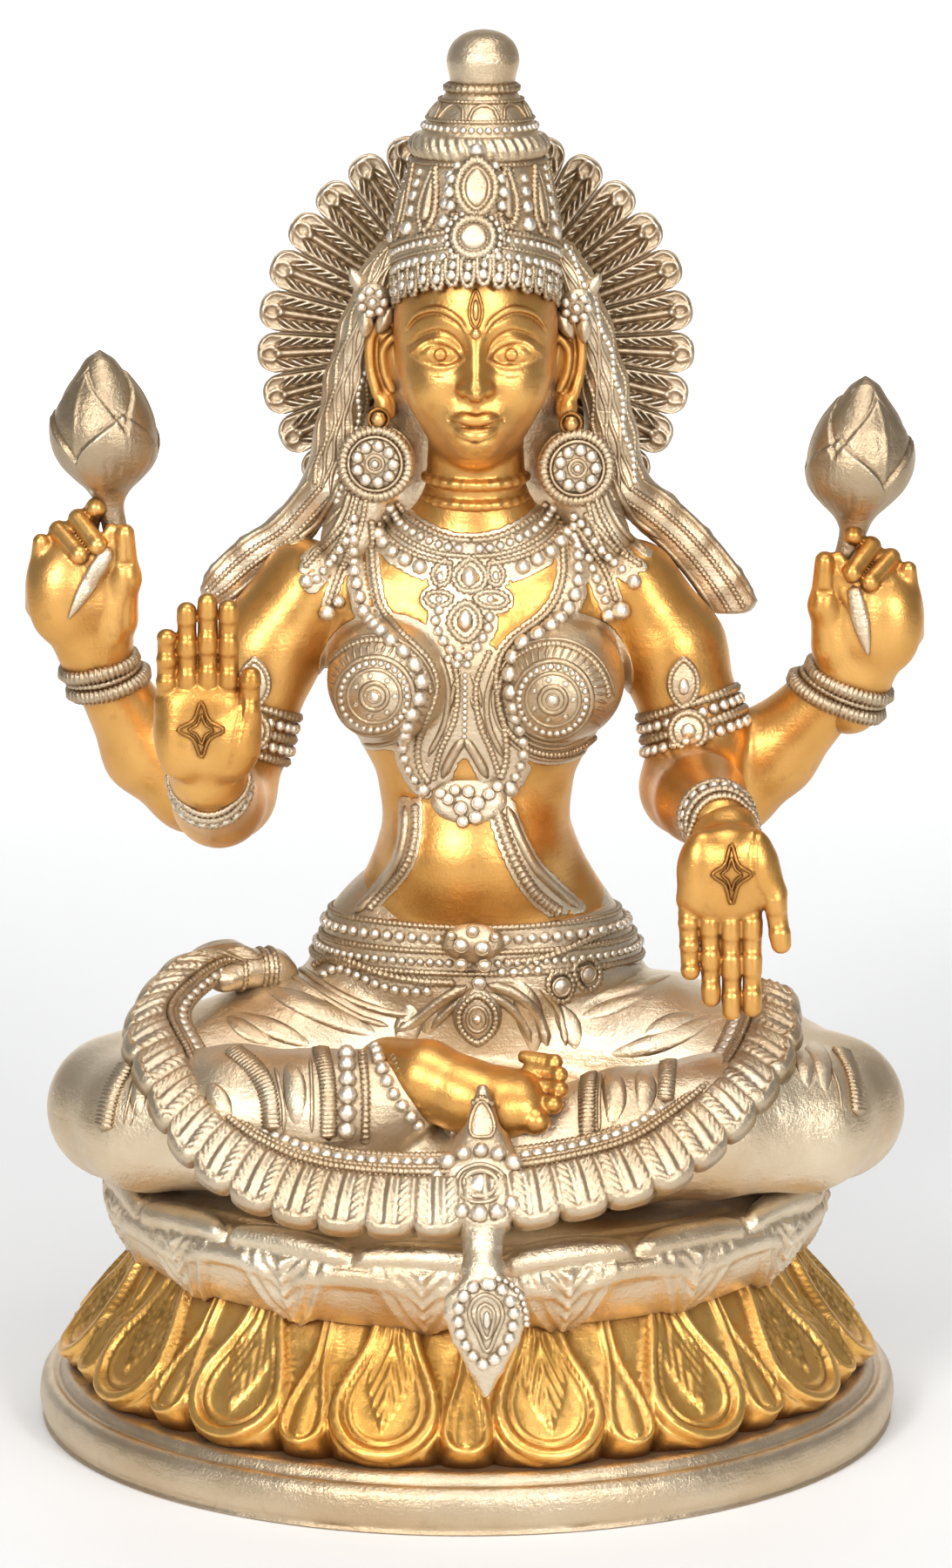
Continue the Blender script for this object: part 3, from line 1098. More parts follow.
# the hatched cushion
turns = np.arange(240) * 1.5
cushion = []
for q in np.linspace(-1, 1, 11):
    p, n = crownAt(turns, 230.2 + 2.9 * q)
    swell = 2.5 * math.sqrt(max(0.0, 1 - q * q)) - 0.4
    hatch = 0.28 * np.sign(np.sin(np.radians(turns * 40) + 3.2 * q)) * (1 - q * q)
    cushion.append(p + n * (swell + hatch)[:, None])
crownCast.add(cushion, gridFaces(len(cushion), len(turns), wrapColumns=True))
turns = np.linspace(-180, 180, 241)[:-1]
for z, *row in crownSize["upperRows"]:
    crownRow(turns, z, *row, 0.3, 1.0)
for i in range(9):
    turn = i * 40 + 4
    swag = ((-17, 236.4), (-12, 238.6), (0, 239.4), (12, 238.6), (17, 236.4))
    fine = curve([(turn + a, z) for a, z in swag], 0.7)
    p, n = crownAt(fine[:, 0], fine[:, 1], 0.1)
    sweep(crownCast, p, 0.5, n, 6, 0.8)
knob = curve([
    (0.01, 242.0), (6.0, 242.6), (7.2, 243.6), (7.5, 245.0), (7.9, 246.6), (8.15, 248.4), (7.7, 250.6),
    (6.6, 252.6), (4.6, 254.2), (2.3, 255.0), (0.02, 255.3),
], 0.5)
turns = np.radians(np.arange(72) * 5)
leaning = [(3.5 + 0.02 * (z - 243), z, r) for r, z in knob]
knobPoints = [(x + r * math.sin(t), 3.1 - r * math.cos(t), z + seatTop) for x, z, r in leaning for t in turns]
crownCast.add(knobPoints, gridFaces(len(knob), len(turns), wrapColumns=True))
# the medallion and the flame in front
centre, normal = crownAt(-1.5, 212.0, 0.4)
centre, normal = centre[0], unit(normal[0] + [0, -0.3, -0.1])
plate(crownCast, centre, normal, (5.6, 5.2), 0, 0.9)
hoop(crownCast, centre, normal, (4.3, 4.1, 60), 1.0, 1.25, (1.15, 0.4), 0.7)
plate(crownCast, centre, normal, (3.1, 2.9), 0.9, 0.8, 0.12)
ring = onPlane(centre + normal * 0.4, normal, up, oval(5.9, 5.5, 22))
beads(crownCast, ring, 0.75, 1.0, [normal] * 22, 0.8)
centre, normal = crownAt(-0.8, 221.8, 1.0)
centre, normal = centre[0], unit(normal[0] + [0, -0.25, -0.05])
plate(crownCast, centre, normal, (6.4, 8.2, 40, 0.7), 0, 1.2)
hoop(crownCast, centre, normal, (4.2, 6.2, 70, 0.5), 1.4, 1.2, (1.1, 0.4), 0.6)
plate(crownCast, centre, normal, (2.7, 4.6, 40, 0.6), 1.3, 0.6, 0.1)
flameBeads = ((5.6, -4, 1.3), (5.9, -1, 1.4), (5.4, 2, 1.2), (-5.6, -4, 1.3), (-5.9, -1, 1.4), (-5.4, 2, 1.2),
              (4.2, 5, 1.0), (-4.2, 5, 1.0))
at = onPlane(centre + normal * 1.0, normal, up, [(a, b) for a, b, _ in flameBeads])
beads(crownCast, at, [size for *_, size in flameBeads], 1.0, [normal] * 8, 0.8)
beads(crownCast, onPlane(centre + normal * 0.6, normal, up, [(0, 8.6)]), 2.0, 1.0, [normal], 0.8, stretch=0.8)
makePiece("crown", crownCast, 0.72)
print("crown")

# Ear discs, stud and forehead mark
earAt = {
    "discs": ((-20.2, -4.2, 159.4), (24.4, -4.2, 158.4)),
    "studs": ((-19.6, 169.4), (23.2, 168.4)),
    "temples": ((428, 343), (663, 349)),  # places in the frame
    # across, out, up, lean
    "leaves": ((3.2, 2.0, 3.6, 0.6), (1.6, 0.8, -5.4, 0.0), (-2.6, 0.8, -4.6, -0.5)),
    "mark": [(0, 8.2), (1.1, 5.6), (1.45, 3.2), (0.9, 1.0), (0, 0), (-0.9, 1.0), (-1.45, 3.2), (-1.1, 5.6)],
}
earCast = Cast()
for x, y, z in earAt["discs"]:
    centre, normal = np.array([x, y, z + seatTop]), unit([0.12 * (1 if x > 0 else -1), -1, 0.05])
    plate(earCast, centre, normal, (8.7, 8.7, 48), 0, 0.8)
    plate(earCast, centre, normal, (6.2, 6.2, 48), 1.0, 0.8)
    hoop(earCast, centre, normal, (7.4, 7.4, 72), 1.2, 1.6, (1.2, 0.5), 0.6)
    hoop(earCast, centre, normal, (6.0, 6.0, 48), 1.9, 0.4)
    beads(earCast, onPlane(centre + normal * 2.2, normal, up, oval(4.1, 4.1, 9)), 1.5, 1.0, [normal] * 9, 0.8)
    hoop(earCast, centre, normal, (1.9, 1.9, 24), 2.3, 0.5)
    beads(earCast, [centre + normal * 2.4], 1.0, 1.0, [normal], 0.8)
    back = onPlane(centre - normal * 4.0, normal, up, oval(7.0, 7.0, 48))
    front = onPlane(centre + normal * 0.2, normal, up, oval(8.4, 8.4, 48))
    earCast.add(np.vstack([back, front]), gridFaces(2, 48, wrapColumns=True, flip=True))
for x, z in earAt["studs"]:
    beads(earCast, [(x, -4.6, z + seatTop)], 1.9, 0.0)
    at, front = np.array([x, -4.8, z + seatTop]), np.array([0, -1.0, 0])
    hoop(earCast, at, front, (2.3, 2.3, 20), 0, 0.45, flat=1.0, silver=0.0)
# a rosette with three leaves on each temple, where the fringe meets the hair
templeSkin = Skin(headMesh, veilMesh)
for place, side in zip(earAt["temples"], (-1, 1)):
    p, n = templeSkin.seen([place])
    normal = unit(n[0] + [0, -1.0, 0])
    centre = p[0] + normal * 0.6
    for across, out, rise, lean in earAt["leaves"]:
        middle = centre + [side * across, out, rise]
        leaf = onPlane(middle, normal, unit(up + [side * lean, 0, 0]), oval(1.7, 3.6, 32, 0.8))
        plaque(earCast, leaf, middle, 1.0, normal, 0.8)
    plate(earCast, centre, normal, (3.9, 3.9, 36), 0, 1.3, 0.5)
    ring = onPlane(centre + normal * 1.8, normal, up, oval(2.6, 2.6, 7))
    beads(earCast, ring, 1.15, 1.0, [normal] * 7, 0.8)
    beads(earCast, [centre + normal * 2.0], 1.2, 1.0, [normal], 0.9)
# a leaf-shaped mark over the brow
markLine = curve(earAt["mark"], 0.4, closed=True)
p, n = headSkin.front([(axisX + x, 192.6 + z + seatTop) for x, z in markLine])
sweep(earCast, p, 0.4, n, 6, 0.9, closed=True, silver=0.0)
p, n = headSkin.front([(axisX, 196.4 + seatTop), (axisX, 191.4 + seatTop)])
beads(earCast, p[:1] + n[:1] * 0.15, 0.7, 0.0, n[:1], 0.8, stretch=3.6, along=[up])
beads(earCast, p[1:] + n[1:] * 0.5, 1.3, 0.0)
makePiece("ear_ornaments", earCast)

# Jewellery on the chest and at the waist, laid on under its place in the frame
dressSkin = Skin(bodyMesh, legMesh, headMesh, veilMesh)
laid = []  # where ornaments lie on the body, with their half width


def lay(cast, skin, kind, size, gap, places, silver=1.0, closed=False):
    # one ornament along places of the frame, kept to its longest unbroken run
    p, n = skin.seen(places, 3.0, closed)
    if len(p) < 2 and kind != "disc":
        return
    if len(p) > 1:
        breaks = np.flatnonzero(np.linalg.norm(np.diff(p, axis=0), axis=1) > 5.0) + 1
        runs = np.split(np.arange(len(p)), breaks)
        longest = max(runs, key=len)
        p, n, closed = p[longest], n[longest], closed and len(runs) == 1
        if len(p) < 3:
            return
    laid.extend((point, np.max(size)) for point in p)
    p = p + n * (0.25 if kind != "fold" else 0)
    if kind == "beads":
        sizes = size if np.iterable(size) else (size, size)
        path = curve(np.hstack([p, n])[::2], 0.3) if len(p) > 4 else curve(np.hstack([p, n]), 0.3)
        length = np.concatenate([[0], np.cumsum(np.linalg.norm(np.diff(path[:, :3], axis=0), axis=1))])
        at, spots = 0.0, []
        while at <= length[-1]:
            r = sizes[0] + (sizes[1] - sizes[0]) * math.sin(math.pi * at / max(length[-1], 1e-6))
            spots.append((at, r))
            at += gap * r * 2
        row = np.stack([np.interp([a for a, _ in spots], length, path[:, k]) for k in range(6)], 1)
        r = np.array([q for _, q in spots]) * (0.94 + 0.12 * noise.random(len(spots)))
        beads(cast, row[:, :3] + unit(row[:, 3:]) * 0.25 * r[:, None], r, silver, row[:, 3:], 0.85)
    elif kind == "cord":
        nicked(cast, p + n * 0.15, size * 1.18, gap * 1.12, 0.45, n, 0.8, silver, closed)
    elif kind == "line":
        path = curve(np.hstack([p, n]), 1.0)
        ends = np.minimum(np.arange(len(path)), np.arange(len(path))[::-1])
        thick = size if closed else size * np.clip(0.25 + ends / 2.5, 0, 1)
        sweep(cast, path[:, :3], thick, unit(path[:, 3:]), 6, gap, silver, closed)
    elif kind == "fold":
        path = curve(np.hstack([p, n]), 1.2)
        way = unit(path[:, 3:])
        thick = size * np.sin(np.linspace(0.04, math.pi - 0.04, len(path))) ** 0.7
        sweep(cast, path[:, :3] - way * 0.45, thick, way, 10, gap, silver)
    elif kind == "band":
        nicked(cast, p + n * 0.1, size, gap, 0.3, n, 0.34, silver)
    elif kind == "disc":
        beads(cast, p, size, silver, n, 0.55)
        for at, way in zip(p, n):
            rim = (size * 0.78, size * 0.78, 20)
            hoop(cast, at, way, rim, size * 0.35, size * 0.16, sides=5, silver=silver)


def layAll(cast, skin, rows):
    # each row has a kind, a size, a gap and its paths; the path of a ring is closed
    for kind, size, gap, *paths in rows:
        for places in paths:
            lay(cast, skin, kind.split()[0], size, gap, places, closed=kind.endswith("ring"))


def swapped(places):
    # the same places on the figure's other side
    return [(2 * view["middle"] - u, v) for u, v in places]


def circle(centre, radius, turns):
    # places on a circle in the frame
    return [(centre[0] + radius * math.cos(t), centre[1] + radius * math.sin(t)) for t in turns]


chestAt = {
    # the rows of a broad collar, given for the right side
    "collar": (
        ("cord", 0.8, 1.15, [(455, 578), (470, 594), (490, 607), (515, 617), (541, 620)]),
        ("beads", 1.15, 1.02, [(446, 583), (462, 603), (485, 617), (512, 627), (541, 630)]),
        ("cord", 0.7, 1.05,
         [(440, 592), (456, 612), (480, 627), (508, 636), (541, 639)],
         [(434, 600), (450, 621), (474, 636), (500, 644), (520, 647)]),
        ("beads", 1.75, 1.08, [(432, 612), (448, 631), (466, 643), (484, 652), (498, 657)]),
    ),
    "pendants": (
        ("cord ring", 0.8, 1.1,
         [(541, 641), (526, 652), (521, 664), (528, 676), (541, 679), (554, 674), (558, 661),
          (552, 650)]),
        ("cord ring", 0.7, 1.0,
         [(512, 643), (500, 652), (497, 662), (503, 672), (514, 668), (517, 655)],
         [(565, 643), (575, 652), (578, 662), (572, 672), (562, 668), (560, 655)],
         [(489, 688), (494, 681), (508, 680), (519, 686), (512, 694), (498, 696)],
         [(545, 687), (555, 680), (572, 680), (583, 688), (575, 697), (556, 696)]),
        ("cord ring", 0.85, 1.1,
         [(535, 692), (519, 704), (517, 720), (534, 736), (550, 722), (550, 704)]),
        ("beads", 1.25, 1.0,
         [(504, 700), (500, 715), (506, 730), (516, 744), (531, 756), (546, 745), (555, 731),
          (562, 716), (561, 700)]),
        ("beads", 1.1, 1.05, [(514, 757), (531, 764), (549, 756)]),
    ),
    # place, size, stretch
    "gems": (
        ((539, 662), 1.9, 1.5), ((534, 711), 1.7, 1.6), ((505, 662), 1.0, 1.4), ((569, 661), 1.0, 1.4),
        ((504, 688), 1.0, 1.0), ((563, 688), 1.1, 1.0),
    ),
    # two long strands down to the clasp, then the tassels on the shoulders
    "strands": (
        ("beads", (1.15, 1.95), 1.0,
         [(407, 595), (406, 640), (411, 670), (418, 700), (428, 717), (446, 735), (466, 753),
          (479, 772), (482, 792), (474, 812), (466, 832), (463, 852), (466, 872), (474, 890),
          (486, 904)],
         [(660, 592), (662, 625), (663, 655), (661, 678), (652, 697), (640, 715), (620, 730),
          (600, 742), (590, 758), (588, 778), (590, 800), (594, 822), (599, 845), (600, 868),
          (593, 888), (582, 903)]),
        ("cord", 0.85, 1.1,
         [(426, 598), (428, 640), (431, 670), (438, 697), (455, 722), (476, 742), (492, 760),
          (500, 782), (497, 804), (489, 824), (482, 846), (480, 866), (484, 884), (494, 898)],
         [(642, 598), (646, 635), (646, 662), (638, 688), (622, 710), (603, 724), (586, 738),
          (574, 756), (570, 780), (573, 806), (578, 830), (581, 854), (580, 876), (574, 894)]),
        ("line", 0.9, 0.8,
         [(404, 560), (394, 590), (378, 618), (354, 640)],
         [(392, 552), (380, 578), (362, 602), (338, 622)],
         [(690, 556), (700, 584), (716, 610), (742, 634)],
         [(702, 548), (714, 574), (732, 598), (758, 618)]),
        ("cord", 0.7, 1.0,
         [(412, 566), (404, 594), (391, 622), (374, 648)],
         [(420, 574), (415, 600), (406, 628), (394, 655)],
         [(682, 564), (690, 590), (704, 616), (722, 640)],
         [(674, 572), (680, 598), (690, 624), (704, 650)]),
        ("cord", 0.75, 1.05,
         [(672, 590), (690, 612), (712, 634), (736, 650)],
         [(664, 606), (682, 634), (698, 662), (708, 690)],
         [(400, 598), (384, 616), (366, 634), (350, 652)],
         [(404, 625), (392, 652), (382, 676), (376, 694)]),
        ("beads", 1.2, 1.05,
         [(668, 600), (686, 625), (704, 645), (722, 660)],
         [(664, 620), (678, 650), (690, 678), (700, 700)],
         [(404, 610), (388, 634), (372, 654), (358, 672)]),
    ),
    "tasselEnds": (
        ((714, 700), 2.3), ((697, 706), 1.7), ((728, 668), 1.8), ((374, 702), 2.0), ((352, 668), 1.8),
        ((388, 690), 1.5),
    ),
    "breasts": ((430, 799), (635, 803)),
    "chasedRings": (
        (15, "line", 0.7, 0.8), (30, "line", 0.6, 0.8), (37, "beads", 0.8, 1.05), (44, "line", 0.75, 0.8),
        (63, "cord", 0.8, 0.95), (69, "line", 0.55, 0.8),
    ),
    "folds": (
        ("beads", 0.7, 1.0, [(534, 775), (534, 810), (533, 850)]),
        ("cord", 0.75, 1.0,
         [(514, 742), (525, 780), (522, 825), (506, 862), (498, 895)],
         [(562, 748), (547, 785), (550, 828), (564, 862), (574, 893)]),
        ("line", 0.8, 0.7,
         [(504, 752), (514, 790), (510, 830), (492, 868)],
         [(570, 762), (559, 800), (562, 835), (578, 870)],
         [(528, 800), (518, 822), (510, 850)],
         [(540, 800), (550, 822), (558, 850)]),
        ("line", 1.3, 0.7, [(533, 846), (518, 870), (508, 893)], [(533, 846), (548, 870), (560, 893)]),
        ("line", 0.7, 0.7, [(529, 770), (521, 790), (517, 812)], [(540, 772), (549, 792), (553, 812)]),
    ),
    "clasp": (538, 918),
    "claspBeads": (
        (529, 926, 1.75), (549, 920, 1.75), (546, 937, 1.7), (531, 942, 1.5), (514, 915, 1.5),
        (562, 909, 1.5), (538, 906, 1.5), (522, 904, 1.3), (505, 908, 1.3), (572, 900, 1.3),
    ),
    "strapStuds": ((487, 906), (586, 905)),
    "straps": (
        ("line", 1.5, 0.55, [(466, 925), (464, 960), (455, 992), (436, 1020), (408, 1048)]),
        ("cord", 1.0, 1.2, [(478, 925), (477, 960), (468, 992), (448, 1018), (424, 1044)]),
        ("cord", 1.4, 1.25, [(570, 930), (580, 962), (594, 995), (614, 1025), (642, 1048)]),
        ("line", 1.3, 0.6, [(582, 926), (596, 962), (614, 995), (640, 1022), (664, 1042)]),
    ),
}
jewelCast = Cast()
layAll(jewelCast, dressSkin, [(*row, *map(swapped, row[3:])) for row in chestAt["collar"]])
layAll(jewelCast, dressSkin, chestAt["pendants"])
for place, size, stretch in chestAt["gems"]:
    stud(jewelCast, dressSkin, place, size, stretch=stretch)
layAll(jewelCast, dressSkin, chestAt["strands"])
for place, size in chestAt["tasselEnds"]:
    stud(jewelCast, dressSkin, place, size, 0.8, 1.0)
# the bodice: chased rings round each breast, studs, and folds between
fullTurn = np.linspace(0, 2 * math.pi, 20, endpoint=False)
for breastPlace in chestAt["breasts"]:
    for t in np.arange(40) * math.pi / 20:
        # short slanting strokes between two rings, clear of the fold under the breast
        if math.sin(t) > 0.5:
            continue
        stroke = [circle(breastPlace, r, [t + 0.004 * (r - 46)])[0] for r in (46, 51, 56, 61)]
        lay(jewelCast, dressSkin, "line", 0.5, 0.8, stroke)
    for radius in (50, 56):
        lay(jewelCast, dressSkin, "line", 0.55, 0.8, circle(breastPlace, radius, np.linspace(0.6, 2.5, 9)))
    for radius, *row in chestAt["chasedRings"]:
        lay(jewelCast, dressSkin, *row, circle(breastPlace, radius, fullTurn), closed=True)
    lay(jewelCast, dressSkin, "disc", 1.7, 0, [breastPlace])
    for place in circle(breastPlace, 23, np.arange(7) * 0.9):
        lay(jewelCast, dressSkin, "disc", 0.75, 0, [place])
layAll(jewelCast, dressSkin, chestAt["folds"])
# the clasp and the straps to the belt
p, n = dressSkin.seen([chestAt["clasp"]])
plate(jewelCast, p[0], n[0], (8.6, 5.8), 0, 1.0, 1.0)
for u, v, size in chestAt["claspBeads"]:
    # pixels to millimetres, across and up
    at = p[0] + [(u - chestAt["clasp"][0]) / 5.25, -2.0, -(v - chestAt["clasp"][1]) / 5.3]
    beads(jewelCast, [at], size * 1.1, 1.0, n, 0.6)
    hoop(jewelCast, at, n[0], (size * 0.75, size * 0.75, 18), size * 0.4, 0.22, flat=1.0, sides=5)
for place in chestAt["strapStuds"]:
    stud(jewelCast, dressSkin, place, 1.9, 0.5, 0.9)
layAll(jewelCast, dressSkin, chestAt["straps"])
makePiece("chest_jewels", jewelCast)
print("chest jewels")

# the body's silver: bodice, skirt, and a thin ground under the jewellery
tree = KDTree(len(laid))
for i, (point, size) in enumerate(laid):
    tree.insert(Vector(point), i)
tree.balance()
points, quads = bodyMesh
ground = np.zeros(len(points))
for i in np.flatnonzero((points[:, 1] < 6) & (points[:, 2] > 118)):
    _, index, away = tree.find(Vector(points[i]))
    ground[i] = smooth(laid[index][1] + 1.1, laid[index][1] + 0.5, away)
corner = points[quads]
facing = np.cross(corner[:, 2] - corner[:, 0], corner[:, 3] - corner[:, 1])
sums = [np.bincount(quads.ravel(), np.repeat(facing[:, k], 4), len(points)) for k in range(3)]
normal = unit(np.stack(sums, 1))
rise = 0.3 * np.maximum(ground, smooth(0.3, 0.7, bodySilver(points)))
bodyCast = Cast()
bodyCast.add(points + normal * rise[:, None], quads, np.maximum(bodySilver(points), ground))
makePiece("body", bodyCast, 0.4)

# Belt rows right round the hips, swags and a clasp in front
beltAt = {
    "rows": (
        (55.6, "cord", 0.85, 1.25), (52.8, "beads", 1.4, 1.08), (49.9, "cord", 0.85, 1.2),
        (47.4, "beads", 1.0, 1.1), (45.0, "cord", 0.85, 1.2),
    ),
    "clasp": (543, 1082),
    "claspBeads": (
        (-2.6, -0.2, 2.0), (2.1, -0.8, 2.0), (0, 3.0, 1.6), (-4.8, 2.0, 1.1), (5.0, 1.6, 1.1),
        (-2.6, -4.6, 1.6), (2.6, -4.8, 1.7),
    ),
    "swags": (
        ("cord", 0.95, 1.25,
         [(362, 1108), (376, 1100), (398, 1102), (425, 1113), (455, 1122), (490, 1127), (522, 1128)]),
        ("beads", 1.2, 1.05,
         [(372, 1120), (390, 1112), (412, 1120), (440, 1132), (470, 1138), (505, 1137)]),
        ("line", 1.0, 0.6,
         [(345, 1112), (380, 1136), (415, 1153), (450, 1163), (475, 1165)],
         [(620, 1135), (636, 1150), (645, 1172), (650, 1200)]),
        ("line", 0.8, 0.6, [(335, 1120), (375, 1147), (412, 1168), (445, 1178)]),
        ("line", 1.5, 0.6,
         [(535, 1132), (505, 1150), (480, 1170), (455, 1185)],
         [(560, 1130), (590, 1140), (612, 1158), (622, 1178), (628, 1200)]),
        ("line", 1.1, 0.6, [(540, 1140), (515, 1160), (495, 1180)]),
        ("cord", 0.9, 1.2, [(580, 1104), (610, 1102), (640, 1094), (672, 1080), (705, 1066)]),
        ("beads", 1.3, 1.05, [(576, 1116), (596, 1116), (618, 1114)]),
        ("cord ring", 0.8, 1.1,
         [(632, 1120), (648, 1116), (657, 1128), (652, 1146), (640, 1148), (630, 1136)],
         [(660, 1108), (676, 1100), (687, 1112), (685, 1130), (672, 1136), (661, 1124)]),
        ("line", 1.2, 0.6, [(556, 1140), (580, 1152), (600, 1172), (610, 1196)]),
    ),
    "discs": (((643, 1132), 2.6), ((673, 1118), 2.4), ((550, 1128), 1.8)),
    "pendant": (548, 1166),
    # folds on the thighs and bands on the shins
    "folds": (
        ("fold", 3.4, 0.4,
         [(300, 1130), (345, 1150), (395, 1172), (440, 1190)],
         [(470, 1150), (468, 1180), (458, 1205)],
         [(590, 1120), (604, 1150), (612, 1190), (612, 1215)],
         [(650, 1146), (690, 1128), (730, 1112), (765, 1100)]),
        ("fold", 2.8, 0.4,
         [(330, 1122), (372, 1140), (420, 1158)],
         [(494, 1150), (492, 1172), (486, 1190)],
         [(636, 1150), (655, 1180), (662, 1210)],
         [(700, 1224), (706, 1262), (700, 1300)],
         [(736, 1216), (742, 1250), (738, 1285)],
         [(236, 1240), (252, 1268), (262, 1300)],
         [(330, 1215), (338, 1250), (340, 1300)],
         [(170, 1215), (160, 1250), (158, 1290)],
         [(930, 1190), (945, 1225), (948, 1265)]),
        ("fold", 2.6, 0.4,
         [(190, 1205), (182, 1240), (184, 1285)],
         [(905, 1185), (922, 1215), (928, 1255)]),
        ("fold", 2.6, 0.42,
         [(268, 1160), (308, 1178), (338, 1192), (364, 1202)],
         [(256, 1164), (288, 1185), (318, 1199)],
         [(655, 1162), (700, 1142), (742, 1127), (780, 1114)],
         [(660, 1171), (702, 1155), (748, 1139)],
         [(735, 1189), (782, 1170), (802, 1163)],
         [(724, 1205), (770, 1191), (822, 1165)],
         [(690, 1213), (742, 1201), (792, 1183), (828, 1166)]),
        ("band", 2.5, 0.9, [(268, 1206), (290, 1224), (304, 1245), (310, 1268), (312, 1295)]),
        ("line", 0.5, 0.7,
         [(316, 1226), (322, 1250), (326, 1275), (326, 1300)],
         [(356, 1215), (358, 1250), (358, 1300)],
         [(668, 1228), (666, 1260), (667, 1300)],
         [(690, 1228), (688, 1260), (688, 1300)],
         [(758, 1218), (757, 1262)]),
        ("band", 2.2, 0.9,
         [(368, 1205), (375, 1235), (377, 1265), (377, 1305)],
         [(678, 1226), (675, 1250), (674, 1280), (675, 1310)],
         [(768, 1214), (766, 1235), (764, 1262)]),
        ("beads", 2.2, 0.85, [(398, 1212), (399, 1240), (399, 1270), (397, 1310)]),
        ("cord", 1.0, 1.1, [(416, 1210), (419, 1240), (420, 1270), (419, 1312)]),
        ("beads", 1.6, 1.0, [(430, 1205), (440, 1232), (452, 1256), (470, 1280), (486, 1298)]),
        ("cord", 1.1, 1.15, [(444, 1200), (462, 1230), (484, 1260), (508, 1288), (524, 1302)]),
        ("band", 2.6, 0.9,
         [(120, 1292), (125, 1266), (134, 1242), (147, 1222)],
         [(985, 1275), (983, 1250), (976, 1226), (965, 1206)]),
        ("line", 0.35, 0.7,
         [(142, 1290), (148, 1262), (156, 1236)],
         [(150, 1292), (156, 1266), (164, 1240)],
         [(966, 1276), (963, 1250), (955, 1226)]),
    ),
}
beltCast = Cast()
beltSkin = Skin(bodyMesh, legMesh)
for z, kind, size, gap in beltAt["rows"]:
    p, n = beltSkin.around((2.6, 4, z + seatTop), (0, 0.03, 1), 110, 60)
    if kind == "cord":
        nicked(beltCast, p + n * 0.2, size, gap, 0.35, n, 0.9, closed=True)
        continue
    path = curve(np.hstack([p, n])[::2], 2 * size * gap, closed=True)
    sizes = size * (0.92 + 0.16 * noise.random(len(path)))
    beads(beltCast, path[:, :3] + unit(path[:, 3:]) * 0.4, sizes, 1.0, path[:, 3:], 0.8)
p, n = beltSkin.seen([beltAt["clasp"]])
centre, normal = p[0] + n[0] * 1.2, unit(n[0] + [0, -0.6, 0])
plate(beltCast, centre, normal, (7.2, 4.6), 0, 1.6, 1.2)
for across, rise, r in beltAt["claspBeads"]:
    at = onPlane(centre + normal * 2.0, normal, up, [(across, rise)])
    beads(beltCast, at, r, 1.0, [normal], 0.6)
    hoop(beltCast, at[0], normal, (r * 0.8, r * 0.8, 20), r * 0.4, 0.24, flat=1.0, sides=5)
layAll(beltCast, beltSkin, beltAt["swags"])
for place, size in beltAt["discs"]:
    lay(beltCast, beltSkin, "disc", size, 0, [place])
p, n = beltSkin.seen([beltAt["pendant"]])
centre, normal = p[0] + n[0] * 0.8, unit(n[0] + [0, -0.8, 0])
plate(beltCast, centre, normal, (5.6, 7.4, 40, 0.7), 0, 1.4, 0.4)
hoop(beltCast, centre, normal, (4.2, 5.6, 60, 0.6), 1.6, 0.9, (1.1, 0.4), 0.8)
hoop(beltCast, centre, normal, (2.3, 2.9, 30), 1.8, 0.5)
beads(beltCast, [centre + normal * 1.9], 1.2, 1.0, [normal], 0.8)
layAll(beltCast, beltSkin, beltAt["folds"])


# Out of the photo's sight: gathers under the belt, folds over the hips and the lap, and a hem at the seat
def drape(path, way, size):
    # a tapered fold under a path in space, thrown onto the cloth along way
    p, n = beltSkin.hits([(q - np.array(way) * 120.0, way) for q in curve(path, 1.2)])
    thick = size * np.sin(np.linspace(0.12, math.pi - 0.04, len(p))) ** 0.7
    sweep(beltCast, p - n * 0.5, thick, n, 10, 0.42)


for i, x in enumerate(np.linspace(-27, 33, 13)):
    low = 80 - 0.006 * (x - 3) ** 2 + (6 if i % 2 else 0)
    drape([(3 + (x - 3) * 0.8, 0, 103), (3 + (x - 3) * 0.93, 0, 94), (x, 0, low)], (0, -1, 0), 2.6)
thighFolds = (((50, 92), (62, 86), (76, 83)), ((46, 84), (60, 78), (78, 76)), ((46, 75), (58, 70), (72, 69)))
for side in (-1, 1):
    for line in thighFolds:
        drape([(axisX + side * x, 0, z) for x, z in line], (0, -1, 0), 2.4)
    for k in range(4):
        fold = [(0, 9 + 6 * k, 104), (0, 12 + 6 * k, 92), (0, 12 + 7 * k, 76 + 3 * (k % 2))]
        drape(fold, (-side, 0, 0), 3.4)
for k in range(3):
    a, b, turns = 20 + 4 * k, 9 + 5 * k, np.linspace(-2.7, -0.45, 7)
    drape([(axisX + a * math.cos(t), -14 + b * math.sin(t), 0) for t in turns], (0, 0, -1), 3.0)
for z, size in ((66.2, 0.9), (69.4, 0.7)):
    p, n = beltSkin.back([(x, z) for x in np.linspace(-34, 38, 70)])
    nicked(beltCast, p + n * 0.1, size, 1.2, 0.35, n, 0.8)
makePiece("belt_and_bands", beltCast)
print("belt")

# Armlets and bangles
armCast = Cast()
armSkin = Skin(bodyMesh, *handMeshes)


